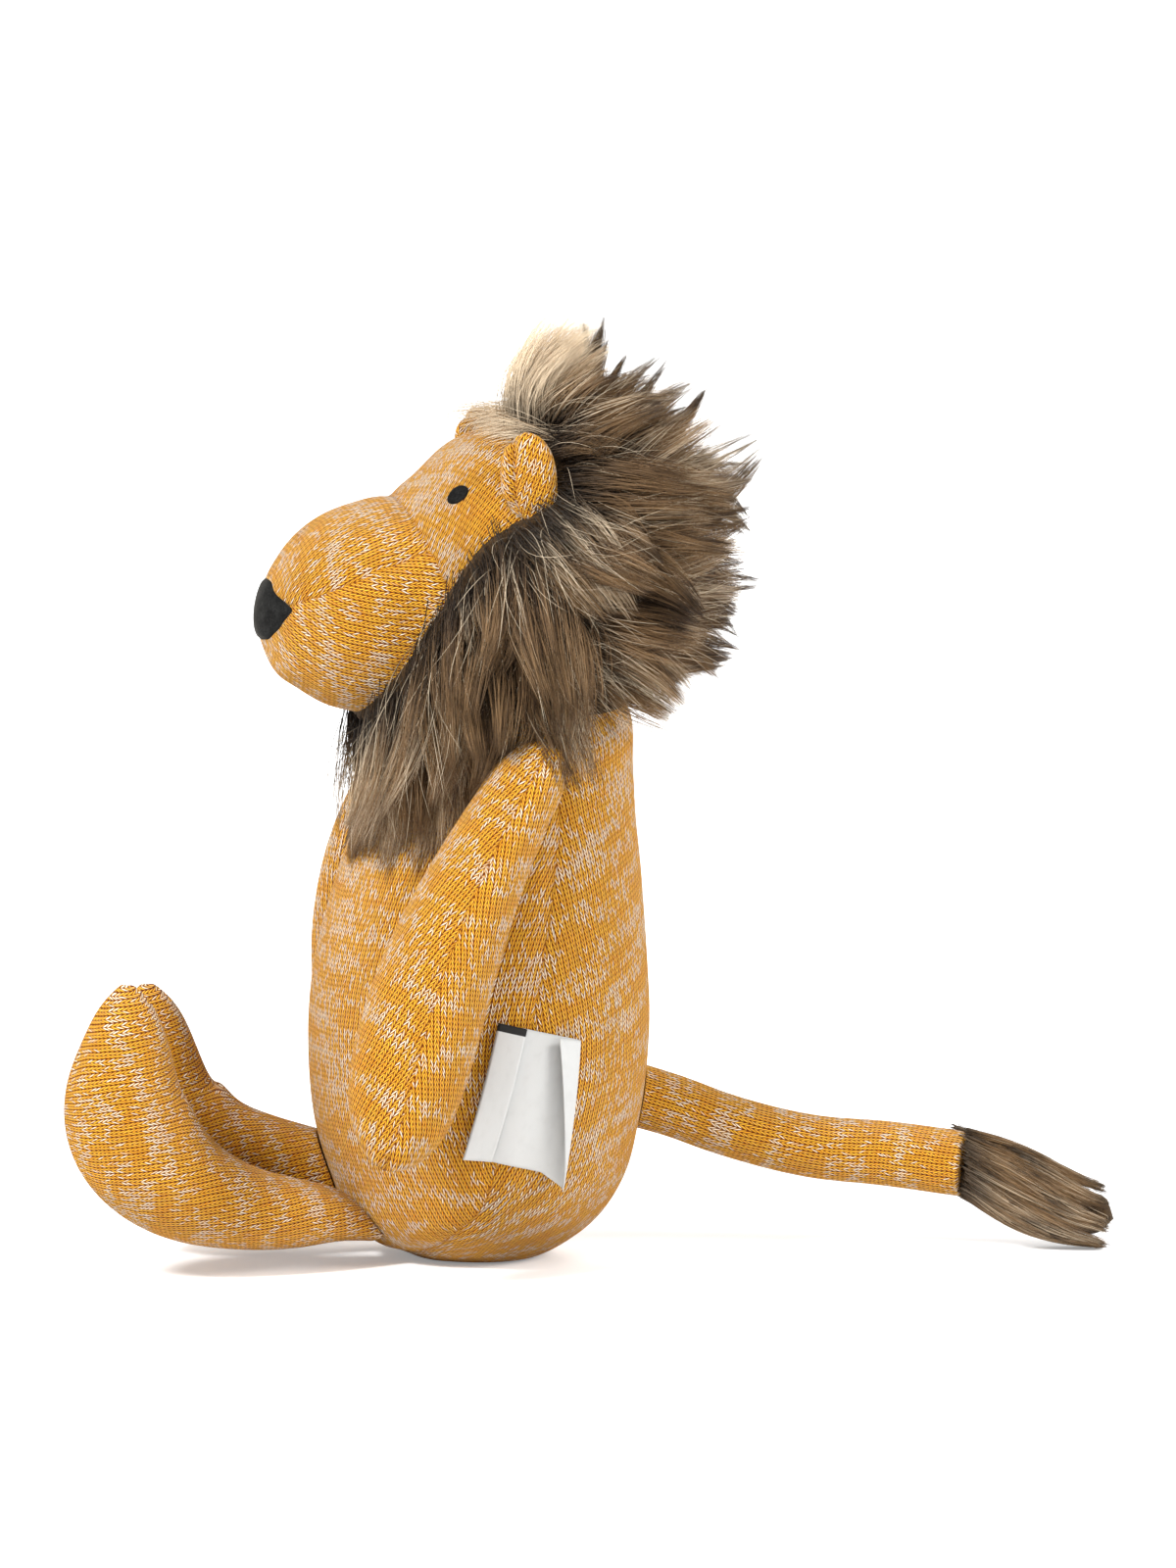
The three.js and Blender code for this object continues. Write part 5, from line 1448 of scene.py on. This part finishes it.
def makeTailTuft(spec, shape):
    # hair laid back along the tail's end: it leaves the cuff, bulges with the tuft and closes at its tip
    chance = np.random.default_rng(spec["seed"])
    rows = np.array(shape["tuft"])
    centres = tailEnd + np.stack([shape["tuftLength"] * rows[:, 0], -shape["tuftBow"] * rows[:, 0],
                                  -shape["tuftDrop"] * rows[:, 1]], -1)
    table = np.column_stack([centres, shape["tuftRadius"] * rows[:, 2]])
    tip = np.append(tailEnd + np.array([shape["tuftLength"], -shape["tuftBow"], -shape["tuftDrop"]]), 0.0)
    table = np.vstack([table, tip])
    knots = lengthsAlong(table[:, :3])

    def lineAt(share, blunt=1.0):
        # the core's place and radius at each share of its length; the radius stops narrowing at blunt
        rows = through(knots, table, np.clip(share, 0, 1).ravel() * knots[-1]).reshape(*share.shape, 4)
        rows[..., 3] = through(knots, table,
                               np.clip(share, 0, blunt).ravel() * knots[-1])[:, 3].reshape(share.shape)
        return rows

    # under the hair lies a thinner core of ground fur
    around = spec["coreAround"]
    core = lineAt(np.linspace(0, 1, around))
    core[:, 3] *= spec["coreShare"]
    rings = tubeRings(core[:, :3], core[:, 3], around)
    rings = np.concatenate([drawnIn(rings[:1], around), rings[:-1],
                            np.repeat(core[-1:, None, :3], around, 1)])
    ground = closedSkin("tuftGround", rings)
    dress(ground, "tail", groundFur, ("tail_tuft",), 0)
    # tuft middles: a start along the core and an angle round it; the hair keeps its angle and widens to the
    # outline
    atCuff = chance.uniform(0, 1, spec["tufts"]) < spec["atCuff"]
    start = np.where(atCuff, 0.0, chance.uniform(0, spec["startTo"], spec["tufts"]))
    angle = chance.uniform(0, 2 * np.pi, spec["tufts"])
    tuft = np.arange(spec["hairs"]) % spec["tufts"]
    begin = np.maximum(start[tuft] + chance.normal(0, 0.04, spec["hairs"]), -spec["overCuff"])
    ownAngle = angle[tuft] + chance.normal(0, 0.16, spec["hairs"])
    reach = chance.uniform(*spec["reach"], spec["hairs"])
    s = np.linspace(0, 1, spec["steps"])[None]
    # the end is cut blunt: hair nearer the outside stops a little sooner
    outside = chance.uniform(0, 1, (spec["hairs"], 1)) < spec["outside"]
    depth = np.where(outside, spec["outer"], chance.uniform(*spec["inner"], (spec["hairs"], 1)))
    share = np.clip(depth + (1.03 - depth) * s + chance.normal(0, 0.03, (spec["hairs"], 1)), 0, 1.08)
    last = 1.04 - 0.12 * share[:, -1:] ** 2 + chance.normal(0, 0.015, (spec["hairs"], 1))
    where = np.minimum(begin[:, None] + reach[:, None] * s, last - 0.02 * (1 - s))
    line = lineAt(np.clip(where, 0, 1), spec["bluntAt"])
    beyond = np.maximum(where - 1, 0)[..., None] * unit(tip[:3] - centres[-1]) * knots[-1]
    beyond = beyond + np.minimum(where, 0)[..., None] * unit(centres[1] - centres[0]) * knots[-1]
    out = share * line[..., 3]
    swirl = ownAngle[:, None] + (angle[tuft] - ownAngle)[:, None] * s * 0.8 + spec["swirl"] * s
    paths = line[..., :3] + beyond + np.stack([0 * out, np.cos(swirl) * out, np.sin(swirl) * out], -1)
    paths[..., 2] = np.maximum(paths[..., 2], 0.4)
    tone = np.clip(0.25 + 0.45 * chance.beta(2.2, 2.2, spec["tufts"])[tuft]
                   + 0.35 * chance.uniform(0, 1, spec["hairs"]), 0, 1)
    tipped = chance.uniform(0, 1, spec["hairs"]) < np.where(begin + reach > 0.85, 0.95, 0.3)
    radius = spec["radius"] * chance.uniform(*hairThickness, spec["hairs"])
    strandMesh("tuftHair", "tail", paths, radius, spec["tone"] * tone, tipped, spec["rootFrom"])


makeTailTuft(tuftSet, tailSet)
print("beard and tail tuft made")

# floor and light
stageSet = {"colours": (linear(246, 246, 246), linear(248, 248, 248)), "size": 30.0, "cells": 11,
            "below": 0.0002}
lampSet = {
    "keyLamp": {"place": (-1.65, -1.0, 1.75), "size": 0.6, "power": 82},
    "fillLamp": {"place": (1.7, -1.3, 1.2), "size": 1.0, "power": 38},
    "rimLamp": {"place": (1.2, 1.4, 1.3), "size": 1.0, "power": 22},
}
roomLight = 0.66


def makeStage(spec):
    # wide flat floor that runs on behind the toy as far as the camera sees
    n = spec["cells"] + 1
    u = np.linspace(-1, 1, n)
    x, y = np.meshgrid(u * spec["size"] / 2, u * spec["size"] / 2, indexing="ij")
    z = np.zeros_like(x) - spec["below"]
    points = np.stack([x, y, z], -1).reshape(-1, 3) / mm
    i, j = np.meshgrid(np.arange(n - 1), np.arange(n - 1), indexing="ij")
    quads = np.stack([i * n + j, (i + 1) * n + j, (i + 1) * n + j + 1, i * n + j + 1], -1).reshape(-1, 4)
    floor = makeMesh("studioFloor", points, quads)
    material, tree, shader = newMaterial("paleFloor", 0.8, specular=0.1)
    place = objectPlace(tree)
    faint = noiseAt(tree, place, 6, 2)
    tree.links.new(mixColour(tree, faint, *spec["colours"]), shader.inputs["Base Color"])
    glow = tree.nodes.new("ShaderNodeEmission")
    glow.inputs[0].default_value = (1, 1, 1, 1)
    far = tree.nodes.new("ShaderNodeVectorMath")
    far.operation = "LENGTH"
    tree.links.new(place, far.inputs[0])
    # the floor glows for the eye alone, from 0.25 beside the toy to 1 far out, so that it runs into the white
    strength = calc(tree, "ADD", 0.25,
                    calc(tree, "MULTIPLY", ramp(tree, far.outputs["Value"], 0.35, 2.2), 0.75))
    tree.links.new(calc(tree, "MULTIPLY", seenRays(tree), strength), glow.inputs[1])
    both = tree.nodes.new("ShaderNodeAddShader")
    tree.links.new(shader.outputs[0], both.inputs[0])
    tree.links.new(glow.outputs[0], both.inputs[1])
    tree.links.new(both.outputs[0], tree.nodes["Material Output"].inputs[0])
    floor.data.materials.append(material)
    floor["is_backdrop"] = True


def addLamp(name, place, size, power, aim=(0, 0, 0.13)):
    # a round lamp that faces the toy's middle
    data = bpy.data.lights.new(name, "AREA")
    data.shape = "DISK"
    data.size = size
    data.energy = power
    lamp = bpy.data.objects.new(name, data)
    bpy.context.scene.collection.objects.link(lamp)
    lamp.location = place
    lamp.rotation_euler = (Vector(place) - Vector(aim)).to_track_quat("Z", "Y").to_euler()


def makeLight(lamps, room):
    # three lamps, and a white room: full white where the eye sees it, and the room's share as light
    for name, lamp in lamps.items():
        addLamp(name, lamp["place"], lamp["size"], lamp["power"])
    world = bpy.data.worlds.new("studio")
    bpy.context.scene.world = world
    world.use_nodes = True
    tree = world.node_tree
    background = tree.nodes["Background"]
    background.inputs[0].default_value = (1, 1, 1, 1)
    tree.links.new(calc(tree, "ADD", room, calc(tree, "MULTIPLY", seenRays(tree), 1 - room)),
                   background.inputs[1])


makeStage(stageSet)
makeLight(lampSet, roomLight)
bpy.context.scene.view_settings.view_transform = "Standard"
print("floor and light made")

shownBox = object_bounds()
{"cad": [list(v) for v in cadBox], "shown": [list(v) for v in shownBox]}
